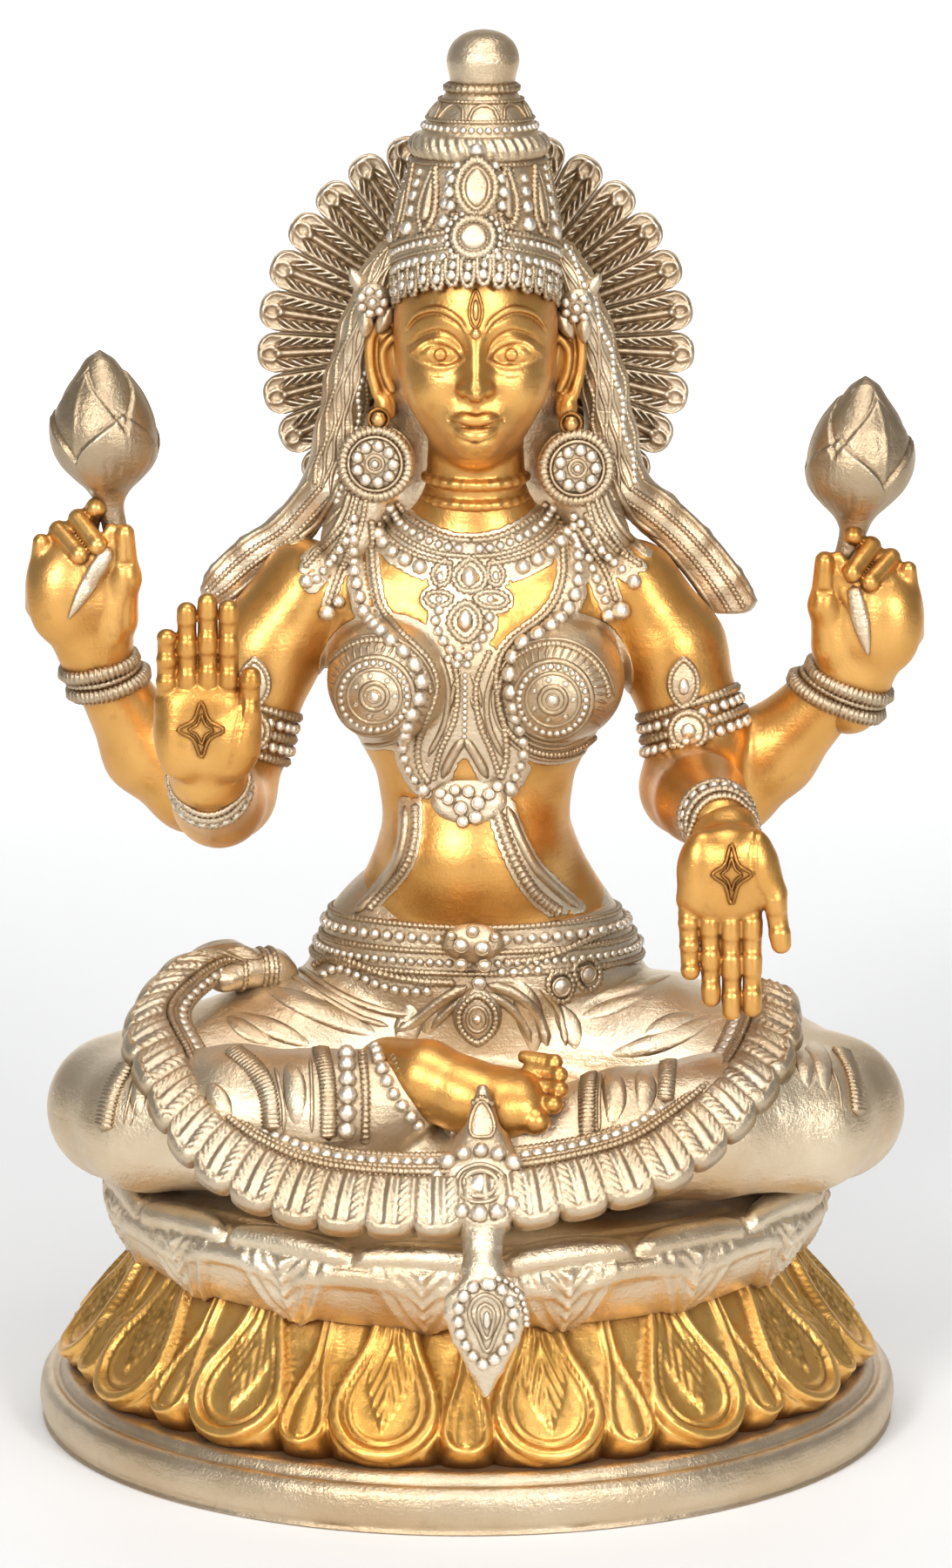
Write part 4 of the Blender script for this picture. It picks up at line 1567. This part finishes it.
def armBand(centre, axis, rows, reach=17.0, spread=1.25):
    # rings round an arm; spread leaves out what the rays meet beyond it
    for shift, kind, size, gap in rows:
        middle = np.asarray(centre) + unit(axis) * shift
        p, n = armSkin.around(middle, axis, 56, reach)
        if len(p) < 40:
            continue
        away = np.linalg.norm(p - centre - unit(axis) * shift, axis=1)
        near = away < spread * np.median(away)
        p, n = p[near], n[near]
        if kind == "cord":
            nicked(armCast, p + n * 0.3, size, gap, 0.35, n, 0.9, closed=True)
        else:
            path = curve(np.hstack([p, n])[::2], 2 * size * gap, closed=True)
            beads(armCast, path[:, :3] + unit(path[:, 3:]) * 0.4, size, 1.0, path[:, 3:], 0.85)


armAt = {
    "bangle": ((-3.6, "cord", 1.1, 1.2), (-1.2, "beads", 1.25, 0.95), (1.2, "cord", 1.25, 1.3),
               (3.4, "cord", 0.9, 1.1)),
    "backBangle": ((-2.5, "cord", 1.9, 1.1), (0.0, "cord", 0.8, 1.2), (2.4, "cord", 1.9, 1.1)),
    "armlet": (
        (-5.6, "cord", 1.1, 1.25), (-3.0, "beads", 1.35, 1.0), (-0.4, "cord", 1.2, 1.3),
        (2.2, "beads", 1.35, 1.0), (4.8, "cord", 1.1, 1.25),
    ),
    # the hand, the star's middle and its half width and height in the frame
    "stars": ((0, (231, 838), (27, 32)), (1, (840, 1004), (23, 35))),
    "stemLeaves": ((2, [(124, 632), (104, 666), (79, 710)]), (3, [(980, 676), (988, 712), (997, 752)])),
}
for rings, back in ((rightFront, False), (leftFront, False), (rightBack, True), (leftBack, True)):
    a, b = np.array(rings[-2][:3]), np.array(rings[-1][:3])
    if back:
        armBand(a + (b - a) * 0.94, unit(b - a) + [0, 0, 0.9], armAt["backBangle"], 13.0, 1.5)
    else:
        armBand(a + (b - a) * 1.02, unit(b - a), armAt["bangle"], 13.0)
for rings in (upperArm, leftUpper):
    a, b = np.array(rings[1][:3]), np.array(rings[2][:3])
    armBand(a + (b - a) * 0.84, b - a, armAt["armlet"])
    # a disc and a flame on the outer side
    inward = -1 if a[0] > 0 else 1
    x, z = (a + (b - a) * 0.78)[[0, 2]] + [1.5 * inward, 0]
    (p, q), (n, m) = bodySkin.front([(x, z), (x + 1.2 * inward, z + 10.5)])
    n, m = unit(n + [0, -1.5, 0]), unit(m + [0, -1.0, 0])
    p = p + n * 0.4
    plate(armCast, p, n, (5.0, 5.0), 0, 1.4, 0.5)
    hoop(armCast, p, n, (4.0, 4.0, 56), 1.5, 0.8, (1.1, 0.35), 0.8)
    beads(armCast, [p + n * 1.7], 1.9, 1.0, [n], 0.6)
    plate(armCast, q, m, (3.9, 6.4, 40, 0.8), 0, 1.0, 0.4)
    hoop(armCast, q, m, (3.2, 5.4, 60, 0.8), 1.0, 0.7, (1.0, 0.35), 0.8)
    beads(armCast, [q + m * 1.3 - up * 0.6], 1.3, 1.0, [m], 0.7, stretch=1.6, along=[up])
# a star on each open palm, and the stem's leaf across the hands that hold the buds
palmSkins = [Skin(mesh) for mesh in handMeshes]
for hand, centre, size in armAt["stars"]:
    for ring, thick in zip(starMark(centre, size), (0.45, 0.36)):
        lay(armCast, palmSkins[hand], "line", thick, 0.9, ring, 0.0, True)
for hand, places in armAt["stemLeaves"]:
    p, n = palmSkins[hand].seen(places, 2.0)
    p = curve(p[np.linspace(0, len(p) - 1, 5).astype(int)], 0.8)
    out = unit(n.mean(0))
    width = 2.1 * np.sin(math.pi * (0.22 + 0.76 * np.linspace(0, 1, len(p)))) ** 0.8
    sweep(armCast, p + out * 0.25, width, [out] * len(p), 12, 0.6, 0.62)
makePiece("armlets_and_bangles", armCast)
print("arm bands")

# Halo
haloSize = {
    "x": 2.0, "z": 243.3, "front": 18.0, "back": 21.4, "radius": 49.5, "valley": 44.0, "pitch": 12.1,
    "start": 8.0,
    "rays": 11, "inner": 20.0,
    # radius and depth of the disc that holds the rays
    "disc": [(22.0, 18.2), (22.0, 21.6), (21.0, 22.3), (19.6, 22.3), (18.6, 21.7), (8.6, 21.9), (7.8, 22.5),
             (6.8, 22.5), (6.0, 21.9), (3.0, 22.4)],
}


def haloRay(cast, turn):
    # one feather with a groove on each side of its rib, slanting barbs and an eye at the tip
    g = haloSize
    across, along = 33, 74
    s = np.linspace(-1, 1, across)[None]
    v = np.linspace(0, 1, along)[:, None]
    half = math.radians(g["pitch"] / 2)
    tipArc = np.sqrt(np.clip(1 - np.abs(s) ** 2.6, 0, 1))
    reach = g["valley"] + (g["radius"] - g["valley"]) * tipArc + 0.25 * (noise.random() - 0.5)
    r = g["inner"] + (reach - g["inner"]) * v
    angle = math.radians(turn) + s * half * 0.985
    edge = (1 - np.abs(s)) * half * r
    tip = (1 - v) * (reach - g["inner"])
    rim = np.minimum(edge, tip)
    lift = 1.15 * smooth(0, 0.5, rim)
    spine = np.abs(s) * half * r
    rib = 0.9 * np.exp(-((spine / 0.6) ** 2)) * smooth(3.4, 5.0, tip)
    ring = 0.75 * np.exp(-(((np.hypot(spine, (tip - 3.0) * 0.8) - 1.5) / 0.5) ** 2))
    groove = -1.0 * np.exp(-(((spine - 1.25) / 0.4) ** 2)) * smooth(3.6, 5, tip)
    edging = 0.6 * np.exp(-(((rim - 0.75) / 0.5) ** 2))
    barbed = smooth(1.3, 1.8, spine) * smooth(0.8, 1.3, rim) * smooth(3.4, 4.6, tip)
    barb = 0.85 * np.sin(2 * math.pi * (tip / 2.5 - spine / 2.2)) * barbed
    height = lift + rib + groove + barb + ring + edging - 0.3
    x = g["x"] + r * np.sin(angle)
    z = g["z"] + r * np.cos(angle)
    y = g["front"] + 1.4 - height
    front = np.stack([x, y, z], 2).reshape(-1, 3)
    backRib = 0.5 * np.exp(-((spine / 0.7) ** 2)) * smooth(1, 3, tip)
    backY = g["back"] - 0.5 + 0.5 * smooth(0, 1.2, rim) + backRib
    back = np.stack([x, np.broadcast_to(backY, x.shape), z], 2).reshape(-1, 3)
    m = along * across
    # walls join the front to the back along the rim of the ray
    grid = np.arange(m).reshape(along, across)
    loop = np.concatenate([grid[:, 0], grid[-1, 1:], grid[-2::-1, -1], grid[0, -2:0:-1]])
    follow = np.roll(loop, -1)
    walls = np.stack([loop, loop + m, follow + m, follow], 1)
    sheet = gridFaces(along, across)
    cast.add(np.vstack([front, back]), [sheet, sheet[:, ::-1] + m, walls])


haloCast = Cast()
for i in range(haloSize["rays"]):
    for side in (-1, 1):
        haloRay(haloCast, side * (haloSize["start"] + haloSize["pitch"] * i))
turn = np.linspace(0, 2 * math.pi, 96, endpoint=False)
x, z = haloSize["x"], haloSize["z"]
disc = np.array([(x + r * math.sin(t), y, z + r * math.cos(t)) for r, y in haloSize["disc"] for t in turn])
last = len(disc)
faces = [gridFaces(len(haloSize["disc"]), 96, wrapColumns=True)]
faces += [fanFaces(np.arange(last - 96, last), last), fanFaces(np.arange(96), last + 1, True)]
haloCast.add(np.vstack([disc, [[x, 22.6, z], [x, 18.2, z]]]), faces)
makePiece("halo_plate", haloCast, 0.45, "halo")
print("halo")

# Pedestal
pedestalCast = Cast()


def lathe(cast, profile, sides, silver):
    # a profile of radius and height turned round the middle
    turn = np.arange(sides) * 2 * math.pi / sides
    r, z = profile[:, :1], np.broadcast_to(profile[:, 1:], (len(profile), sides))
    points = np.stack([r * np.sin(turn), -r * np.cos(turn), z], 2)
    cast.add(points, gridFaces(len(profile), sides, wrapColumns=True), silver)


def throughSteps(path, share):
    # radius, height and slope at shares of a path
    at = np.linspace(0, 1, len(path))
    slope = np.gradient(path, axis=0)
    slope /= np.linalg.norm(slope, axis=1, keepdims=True)
    return [np.interp(share, at, values[:, k]) for values in (path, slope) for k in (0, 1)]


pedestalSize = {
    # radius and height
    "foot": [(0.01, 0), (60, 0), (94.5, 0), (96.6, 0.9), (97.6, 3), (98, 5.2), (97.7, 8.0), (97.0, 9.6),
             (95.8, 10.4), (94.8, 10.4), (94.0, 9.9), (93.4, 10.2), (93.0, 11.4), (92.0, 12.4), (90, 12.6),
             (86, 12.4), (78, 12.4)],
    "skirt": [(73.5, 41), (75.6, 37.6), (79.2, 32.4), (83.6, 27.4), (88.2, 21.6), (91.2, 17.2), (92.4, 14.2)],
    "seat": [(73.0, 38.6), (76.0, 40), (79.4, 44.0), (81.8, 49.4), (82.4, 53.6), (81.2, 57.4), (78.6, 59.6),
             (74, 60.2)],
    "petals": 15, "perPetal": 58, "rows": 62, "firstPetal": 12,  # the skirt, turned by degrees
    "seatPetals": 16, "perSeatPetal": 48, "seatRows": 52,
    "top": 60.2,
}
lathe(pedestalCast, curve(pedestalSize["foot"], 0.8), 260, 1.55)


def petalRelief(s, v):
    # s is -1..1 over one pitch with the large petal in the middle, v is 0 at the waist and 1 at the tips
    big, start, halfPetal = 0.70, 0.62, 17.2
    w = np.where(v < start, big * (0.52 + 0.48 * smooth(0, start, v)), big)
    lateral = (w - np.abs(s)) * halfPetal
    q = np.hypot(s / big, np.clip((v - start) / (1 - start), 0, None))
    edge = np.where(v > start, (1 - q) * 11.5, lateral)
    rim = 2.1 * smooth(0, 0.9, edge) * smooth(3.6, 2.3, edge) + 0.8 * np.exp(-(((edge - 4.3) / 0.5) ** 2))
    inside = smooth(2.3, 3.6, edge)
    # a pointed leaf with veins lies in the hollow
    narrowing = np.clip(1 - np.clip((v - 0.30) / 0.50, 0, 1) ** 1.7, 0, 1)
    leafWidth = 0.34 * narrowing * (0.6 + 0.4 * smooth(0, 0.3, v))
    leaf = (leafWidth - np.abs(s)) * halfPetal
    veins = 0.30 * np.sin(np.abs(s) * 60 - 34 * v) * smooth(0.3, 1.0, leaf) * smooth(0.06, 0.14, v)
    midrib = 0.35 * np.exp(-((s / 0.03) ** 2)) * smooth(0.3, 1, leaf)
    bowl = inside * (0.30 + 0.55 * smooth(0.0, 0.9, leaf) + midrib) + veins
    tipCurl = 0.9 * smooth(0.80, 1.0, v) * smooth(0, 1.2, edge)
    large = rim + bowl + tipCurl
    t = 1 - np.abs(s)
    smallW = 0.30
    q2 = np.hypot(t / smallW, np.clip((v - 0.76) / 0.18, 0, None))
    widening = smallW * (0.35 + 0.65 * smooth(0.1, 0.76, v) ** 1.5)
    edge2 = np.where(v > 0.76, (1 - q2) * 5.0, (widening - t) * halfPetal)
    rim2 = 1.2 * smooth(-0.2, 0.6, edge2) * smooth(2.0, 1.2, edge2)
    keel = 1.3 * np.clip(1 - t / 0.13, 0, 1) * smooth(0.3, 0.8, v) * smooth(0.97, 0.86, v)
    spade = smooth(1.2, 2.2, edge2) * (0.3 + keel)
    small = rim2 + spade + 0.6 * smooth(0.80, 0.94, v) * smooth(0, 1, edge2)
    return np.where(edge > -0.3, np.maximum(large, small * (edge < 0)), small) - 0.9


def skirtReach(s):
    # how far down the large and the small petals come
    big = 0.66 + 0.34 * np.sqrt(np.clip(1 - (s / 0.70) ** 2, 0, 1))
    t = 1 - np.abs(s)
    small = 0.72 + 0.21 * np.sqrt(np.clip(1 - (t / 0.33) ** 2, 0, 1))
    return np.maximum(big, small) + 0.004


g = pedestalSize
columns = g["petals"] * g["perPetal"]
turn = (np.arange(columns) / columns) * 2 * math.pi
offset = math.radians(g["firstPetal"])
petal = (turn - offset) / (2 * math.pi / g["petals"]) + 0.5
s = (petal % 1 * 2 - 1)[None]
uneven = (noise.random(g["petals"]) - 0.5)[np.floor(petal).astype(int) % g["petals"]][None]
reach = skirtReach(s) * (1 + 0.012 * uneven)
v = np.linspace(0, 1, g["rows"])[:, None] ** 0.85 * reach
r, z, slopeR, slopeZ = throughSteps(curve(g["skirt"], 0.5), v)
relief = petalRelief(s, v / (1 + 0.012 * uneven))
r, z = r - relief * slopeZ, z + relief * slopeR
# the lip turns under to the ledge
r = np.vstack([r, r[-1] - 0.6, r[-1] - 2.6, np.full(columns, 84.0)])
z = np.vstack([z, z[-1] - 1.0, np.full(columns, 12.5), np.full(columns, 12.2)])
skirt = np.stack([r * np.sin(turn), -r * np.cos(turn), z], 2)
pedestalCast.add(skirt, gridFaces(len(r), columns, wrapColumns=True, flip=True), 0.0)


# The seat: upright petals in two layers, tips curled out under a flat top
def seatRelief(s, v):
    # broad petals whose tips roll out under the rim, and a second row of rolled tips lower down
    lipMid = 0.80 - 0.10 * s**2
    lip = 2.0 * np.sqrt(np.clip(1 - ((v - lipMid) / (0.12 * (1 - 0.45 * s**2))) ** 2, 0, 1))
    lip = lip * smooth(1.0, 0.80, np.abs(s))
    t = 1 - np.abs(s)
    lowMid = 0.56 - 0.12 * t**2
    low = 1.3 * np.sqrt(np.clip(1 - ((v - lowMid) / (0.085 * (1 - 0.4 * t**2))) ** 2, 0, 1))
    low = low * smooth(0.95, 0.7, t)
    leaf = (0.80 * np.sqrt(np.clip(v / 0.62, 0, 1)) - np.abs(s)) * 14
    blade = 0.6 * smooth(-0.3, 0.8, leaf) + 0.8 * np.exp(-(((leaf - 2.2) / 0.55) ** 2))
    blade = blade + 0.65 * np.exp(-(((leaf - 5.0) / 0.55) ** 2))
    hatch = 0.35 * np.sin(2 * math.pi * (v * 9 - np.abs(s) * 5)) * smooth(6.0, 7.0, leaf)
    blade = (blade + (0.8 * np.exp(-((s / 0.06) ** 2)) + hatch)) * smooth(0.72, 0.60, v)
    return np.maximum(np.maximum(lip, low * (v < 0.68)), blade) - 0.6


columns = g["seatPetals"] * g["perSeatPetal"]
turn = (np.arange(columns) / columns) * 2 * math.pi
s = ((turn / (2 * math.pi / g["seatPetals"]) + 0.8) % 1 * 2 - 1)[None]
v = np.linspace(0, 1, g["seatRows"])[:, None]
r, z, slopeR, slopeZ = throughSteps(curve(g["seat"], 0.4), v)
wander = (0.035 * np.sin(5 * turn + 1.3) + 0.02 * np.sin(11 * turn))[None]
relief = seatRelief(s, v + wander * v * (1 - v) * 3) * smooth(1, 0.93, v)
relief = relief * (1 + 0.25 * np.sin(7 * turn)[None])
r, z = r + relief * slopeZ, z - relief * slopeR
r, z = np.vstack([r, np.full(columns, 40.0)]), np.vstack([z, np.full(columns, g["top"])])
seat = np.stack([r * np.sin(turn), -r * np.cos(turn), z], 2).reshape(-1, 3)
last = len(seat)
faces = [gridFaces(len(r), columns, wrapColumns=True), fanFaces(np.arange(last - columns, last), last)]
pedestalCast.add(np.vstack([seat, [[0, 0, g["top"]]]]), faces)
makePiece("pedestal", pedestalCast, 0.38, "lotus_pedestal")
print("pedestal")

# Garland over both knees
garlandRows = raised([
    [-45, -2, 46], [-53, -8, 44], [-62, -24, 38.6], [-58.5, -38, 33], [-51.5, -52, 26], [-41, -62, 21],
    [-25, -70, 18], [2, -75, 19], [28, -69, 21.5], [41, -60, 26], [52, -48, 31], [58, -34, 37], [60, -20, 41],
])
garlandTips = raised([
    [-52, -8, 51], [-67, -16, 48], [-76, -35, 38], [-72, -53, 31], [-62, -69, 17], [-46, -80, 8.5],
    [-26, -87, 5.5], [2, -90, 6], [31, -84.5, 10], [48, -78, 15], [64, -63, 26], [73, -45, 36.5],
    [74, -25, 43],
])
garlandSize = {"feathers": 25, "across": 20, "rows": 46, "band": 0.36, "bulge": 3.4}


def garland(cast):
    # a broad beaded band with a fringe of short feathers along its outer edge
    g = garlandSize
    n = g["feathers"] * g["across"] + 1

    def along(rows):
        fine = curve(rows, 0.7)
        at = np.linspace(0, 1, len(fine))
        return np.stack([np.interp(np.linspace(0, 1, n), at, fine[:, k]) for k in range(3)], 1)

    inner, outer = along(garlandRows), along(garlandTips)
    cell = (np.arange(n) / g["across"]) % 1 * 2 - 1
    cell[-1] = 1
    reach = 0.90 + 0.12 * np.sqrt(np.clip(1 - np.abs(cell) ** 2.4, 0, 1))
    band = g["band"]
    v = np.linspace(0, 1, g["rows"])[:, None] * reach[None]
    span = np.linalg.norm(outer - inner, axis=1)[None]
    way = unit(outer - inner)
    lengthwise = unit(np.gradient(inner, axis=0))
    normal = unit(np.cross(lengthwise, way))
    flat = inner[None] + (outer - inner)[None] * v[..., None]
    bulge = g["bulge"] * np.sin(math.pi * np.clip(v / 0.95, 0, 1)) + 0.4
    d = v * span
    pitch = np.linalg.norm(np.gradient(inner + (outer - inner) * 0.7, axis=0), axis=1)[None] * g["across"]
    lateral = (1 - np.abs(cell)[None]) * pitch / 2
    spine = np.abs(cell)[None] * pitch / 2
    featherPart = smooth(band + 0.02, band + 0.08, v)
    tip = (reach[None] - v) * span
    rimDist = np.minimum(lateral, tip)
    spineDip = 0.5 * np.exp(-(((spine - 1.5) / 0.5) ** 2)) * smooth(0.8, 2.2, tip)
    feather = 0.9 * smooth(0, 1.0, rimDist) - spineDip
    feather += 0.5 * np.exp(-((spine / 0.7) ** 2)) * smooth(1, 3, tip)
    barbLines = 0.3 * np.sin(2 * math.pi * (d / 1.7 + spine / 1.5)) * smooth(1.7, 2.2, spine)
    feather += barbLines * smooth(0.4, 1.0, rimDist)
    feather += 0.5 * smooth(2.4, 1.2, tip) * smooth(0, 0.8, tip)
    ridges = smooth(0.015, 0.03, v) * smooth(0.075, 0.06, v) + smooth(0.265, 0.28, v) * smooth(0.335, 0.32, v)
    gutter = 0.8 * np.exp(-(((v - band - 0.01) / 0.016) ** 2))
    height = bulge + feather * featherPart + 0.55 * ridges - gutter
    top = flat - normal[None] * height[..., None]
    under = flat + normal[None] * np.where(v > 0.02, 2.4, 0.2)[..., None]
    m = g["rows"] * n
    grid = np.arange(m).reshape(g["rows"], n)
    loop = np.concatenate([grid[0], grid[1:, -1], grid[-1, -2::-1], grid[-2:0:-1, 0]])
    follow = np.roll(loop, -1)
    walls = np.stack([loop, follow, follow + m, loop + m], 1)
    sheet = gridFaces(g["rows"], n)
    cast.add(np.vstack([top, under]), [sheet, sheet[:, ::-1] + m, walls[:, ::-1]], 1.5)
    return inner, outer, normal


garlandCast = Cast()
inner, outer, garlandNormal = garland(garlandCast)
makePiece("garland", garlandCast, 0.6)

# bands along the garland, and the rolled end on the right knee
bandCast = Cast()


def onGarland(v):
    # a line along the band, v of the way out to the feathers' tips
    crown = garlandSize["bulge"] * math.sin(math.pi * min(v / 0.95, 1)) + 0.5
    return inner + (outer - inner) * v - garlandNormal * crown, -garlandNormal


garlandBands = ((0.02, "cord", 0.95, 1.2), (0.135, "beads", 1.45, 0.9), (0.245, "cord", 0.7, 1.1),
                (0.325, "cord", 0.95, 1.2))
for v, kind, size, gap in garlandBands:
    p, n = onGarland(v)
    if kind == "cord":
        nicked(bandCast, p[::2], size, gap, 0.35, n[::2], 0.9)
    else:
        path = curve(np.hstack([p, n])[::6], 2 * size * gap)
        beads(bandCast, path[:, :3], size, 1.0, path[:, 3:], 0.55, stretch=0.95)
roll = Clay((-62, -20, 90), (-34, 10, 120), 0.7)
rollRings = [[-41.6, -3, 42, 3.4, 3.6], [-44, -4, 43.6, 4.4, 4.4], [-50, -6, 44.2, 4.8, 4.4],
             [-55, -10, 43, 4.6, 3.4]]
roll.limb(raised(rollRings), face=(0, 0, 1), k=1.5)
rollMesh = roll.mesh()
bandCast.add(*rollMesh)
rollSkin = Skin(rollMesh)
for share in (0.0, 0.22, 0.75):
    centre = np.array([-44.6 - 9 * share, -4.4 - 4.5 * share, 43.8 + seatTop])
    p, n = rollSkin.around(centre, (-0.9, -0.36, 0.05), 40, 12)
    nicked(bandCast, p, 0.8, 1.1, 0.35, n, 0.9, closed=True)

# the leaf, the medallion and the hanging drop
dropAt = {
    "stem": [[3.5, -74, 22, 6, 3.4], [3.5, -80, 16.5, 9.4, 3.6], [3.5, -85, 9.5, 7.0, 3.8],
             [3.5, -89, 3, 4.0, 3.6], [3.5, -92.6, -2, 4.4, 3.4], [3.5, -95, -6, 3.8, 2.4]],
    "leaf": [[3.8, -94.6, -2, 3.6, 2.0], [4, -95.6, -7, 8.6, 2.3], [4.2, -95.8, -11, 9.2, 2.4],
             [4.2, -95.8, -17, 7.2, 2.3], [4.2, -95.6, -23, 4.0, 2.1], [4.2, -95.2, -28.4, 1.3, 1.5]],
    "marks": (
        ("beads ring", 0.8, 1.0,
         [(558, 1466), (536, 1470), (515, 1487), (508, 1512), (516, 1540), (532, 1566), (557, 1589),
          (582, 1566), (598, 1540), (603, 1512), (596, 1487), (580, 1472)]),
        ("beads ring", 1.5, 0.95,
         [(558, 1474), (540, 1480), (528, 1498), (527, 1520), (536, 1545), (556, 1566), (578, 1547),
          (588, 1522), (588, 1500), (576, 1481)]),
        ("line ring", 0.55, 0.9,
         [(557, 1486), (543, 1494), (539, 1510), (548, 1530), (559, 1552), (570, 1530), (577, 1510),
          (572, 1494)],
         [(524, 1358), (531, 1344), (551, 1337), (572, 1344), (580, 1358), (572, 1374), (551, 1381),
          (531, 1374)]),
        ("line ring", 0.5, 0.9,
         [(557, 1497), (549, 1505), (551, 1520), (559, 1538), (566, 1520), (567, 1505)],
         [(553, 1264), (542, 1282), (541, 1302), (553, 1306), (566, 1302), (565, 1282)]),
        ("cord", 0.75, 1.1,
         [(553, 1260), (534, 1276), (527, 1300)],
         [(553, 1260), (574, 1276), (586, 1300)]),
        ("line ring", 0.7, 0.9,
         [(533, 1358), (538, 1348), (551, 1344), (565, 1348), (571, 1358), (565, 1370), (551, 1374),
          (538, 1370)]),
        ("beads ring", 1.9, 1.0,
         [(503, 1358), (512, 1338), (532, 1326), (551, 1322), (571, 1326), (590, 1338), (598, 1358),
          (590, 1378), (571, 1390), (551, 1393), (532, 1390), (512, 1378)]),
    ),
    "boss": (551, 1359),
    "seed": (559, 1516),
}
drop = Clay((-12, -106, 26), (18, -66, 100), 0.5)
drop.cone((3.5, -77, 78), (3.5, -72.6, 93), (6.2, 3.2), (1.4, 1.6), face=(0, -1, 0.4), k=1.5)
drop.limb(raised(dropAt["stem"]), face=(0, -0.6, 1), k=1.6)
drop.limb(raised(dropAt["leaf"]), face=(0, -1, 0), k=0.8)
dropMesh = drop.mesh()
bandCast.add(*dropMesh)
dropSkin = Skin(dropMesh)
layAll(bandCast, dropSkin, dropAt["marks"])
stud(bandCast, dropSkin, dropAt["boss"], 2.6, flat=0.45)
stud(bandCast, dropSkin, dropAt["seed"], 0.9, stretch=2.6)
makePiece("garland_bands_and_drop", bandCast, 0.75)
print("garland")

# Camera, lights, floor
cameraData = bpy.data.cameras.new("camera")
cameraData.lens, cameraData.sensor_width, cameraData.sensor_fit = view["lens"], 36.0, "AUTO"
camera = bpy.data.objects.new("camera", cameraData)
camera.location = [c * 0.001 for c in view["place"]]
camera.rotation_euler = (math.radians(90 - view["pitch"]), 0, 0)
cameraData.clip_end = 20
bpy.context.collection.objects.link(camera)
bpy.context.scene.camera = camera

world = bpy.data.worlds.new("studio")
bpy.context.scene.world = world
world.use_nodes = True
world.node_tree.nodes["Background"].inputs[0].default_value = (0.97, 0.98, 1.0, 1)
world.node_tree.nodes["Background"].inputs[1].default_value = 0.3


def softLight(name, place, target, size, power, tint=(1, 1, 1)):
    data = bpy.data.lights.new(name, "AREA")
    data.shape, data.size, data.size_y = "RECTANGLE", size[0], size[1]
    data.energy, data.color = power, tint
    lamp = bpy.data.objects.new(name, data)
    lamp.location = place
    lamp.rotation_euler = (Vector(target) - Vector(place)).to_track_quat("-Z", "Y").to_euler()
    bpy.context.collection.objects.link(lamp)


softLight("left_box", (-0.75, -1.6, 0.95), (0, 0, 0.15), (0.4, 0.6), 19)
softLight("right_box", (0.8, -1.5, 0.75), (0, 0, 0.15), (0.34, 0.5), 13)
softLight("top_box", (0.1, -0.4, 1.5), (0, 0, 0.1), (0.8, 0.6), 8)
softLight("back_wash", (0, 2.0, 1.8), (0, 3.4, 0), (3.2, 1.4), 105)


def stageSheet():
    # a floor that turns up into a backdrop in one sweep
    profile = curve([(-6, 0), (0.2, 0), (3.6, 0), (4.6, 0.25), (5.1, 1.2), (5.2, 4.0)], 0.12)
    xs = np.linspace(-6, 6, 9)
    points = [(x, y, z) for y, z in profile for x in xs]
    mesh = bpy.data.meshes.new("studio_floor")
    mesh.from_pydata(points, [], gridFaces(len(profile), 9).tolist())
    for polygon in mesh.polygons:
        polygon.use_smooth = True
    sheet = bpy.data.objects.new("studio_floor", mesh)
    bpy.context.collection.objects.link(sheet)
    material = bpy.data.materials.new("pale_floor")
    material.use_nodes = True
    Wire.tree = material.node_tree
    shader = material.node_tree.nodes["Principled BSDF"]
    speck = Wire.node("ShaderNodeTexNoise", Scale=3.0, Detail=2.0)
    Wire.plug(shader.inputs["Base Color"], blendColour(speck, (0.90, 0.90, 0.90), (0.93, 0.93, 0.925)))
    shader.inputs["Roughness"].default_value = 0.6
    mesh.materials.append(material)
    sheet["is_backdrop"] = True


stageSheet()
bpy.context.scene.view_settings.view_transform = "Standard"
print("stage ready")

low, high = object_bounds()
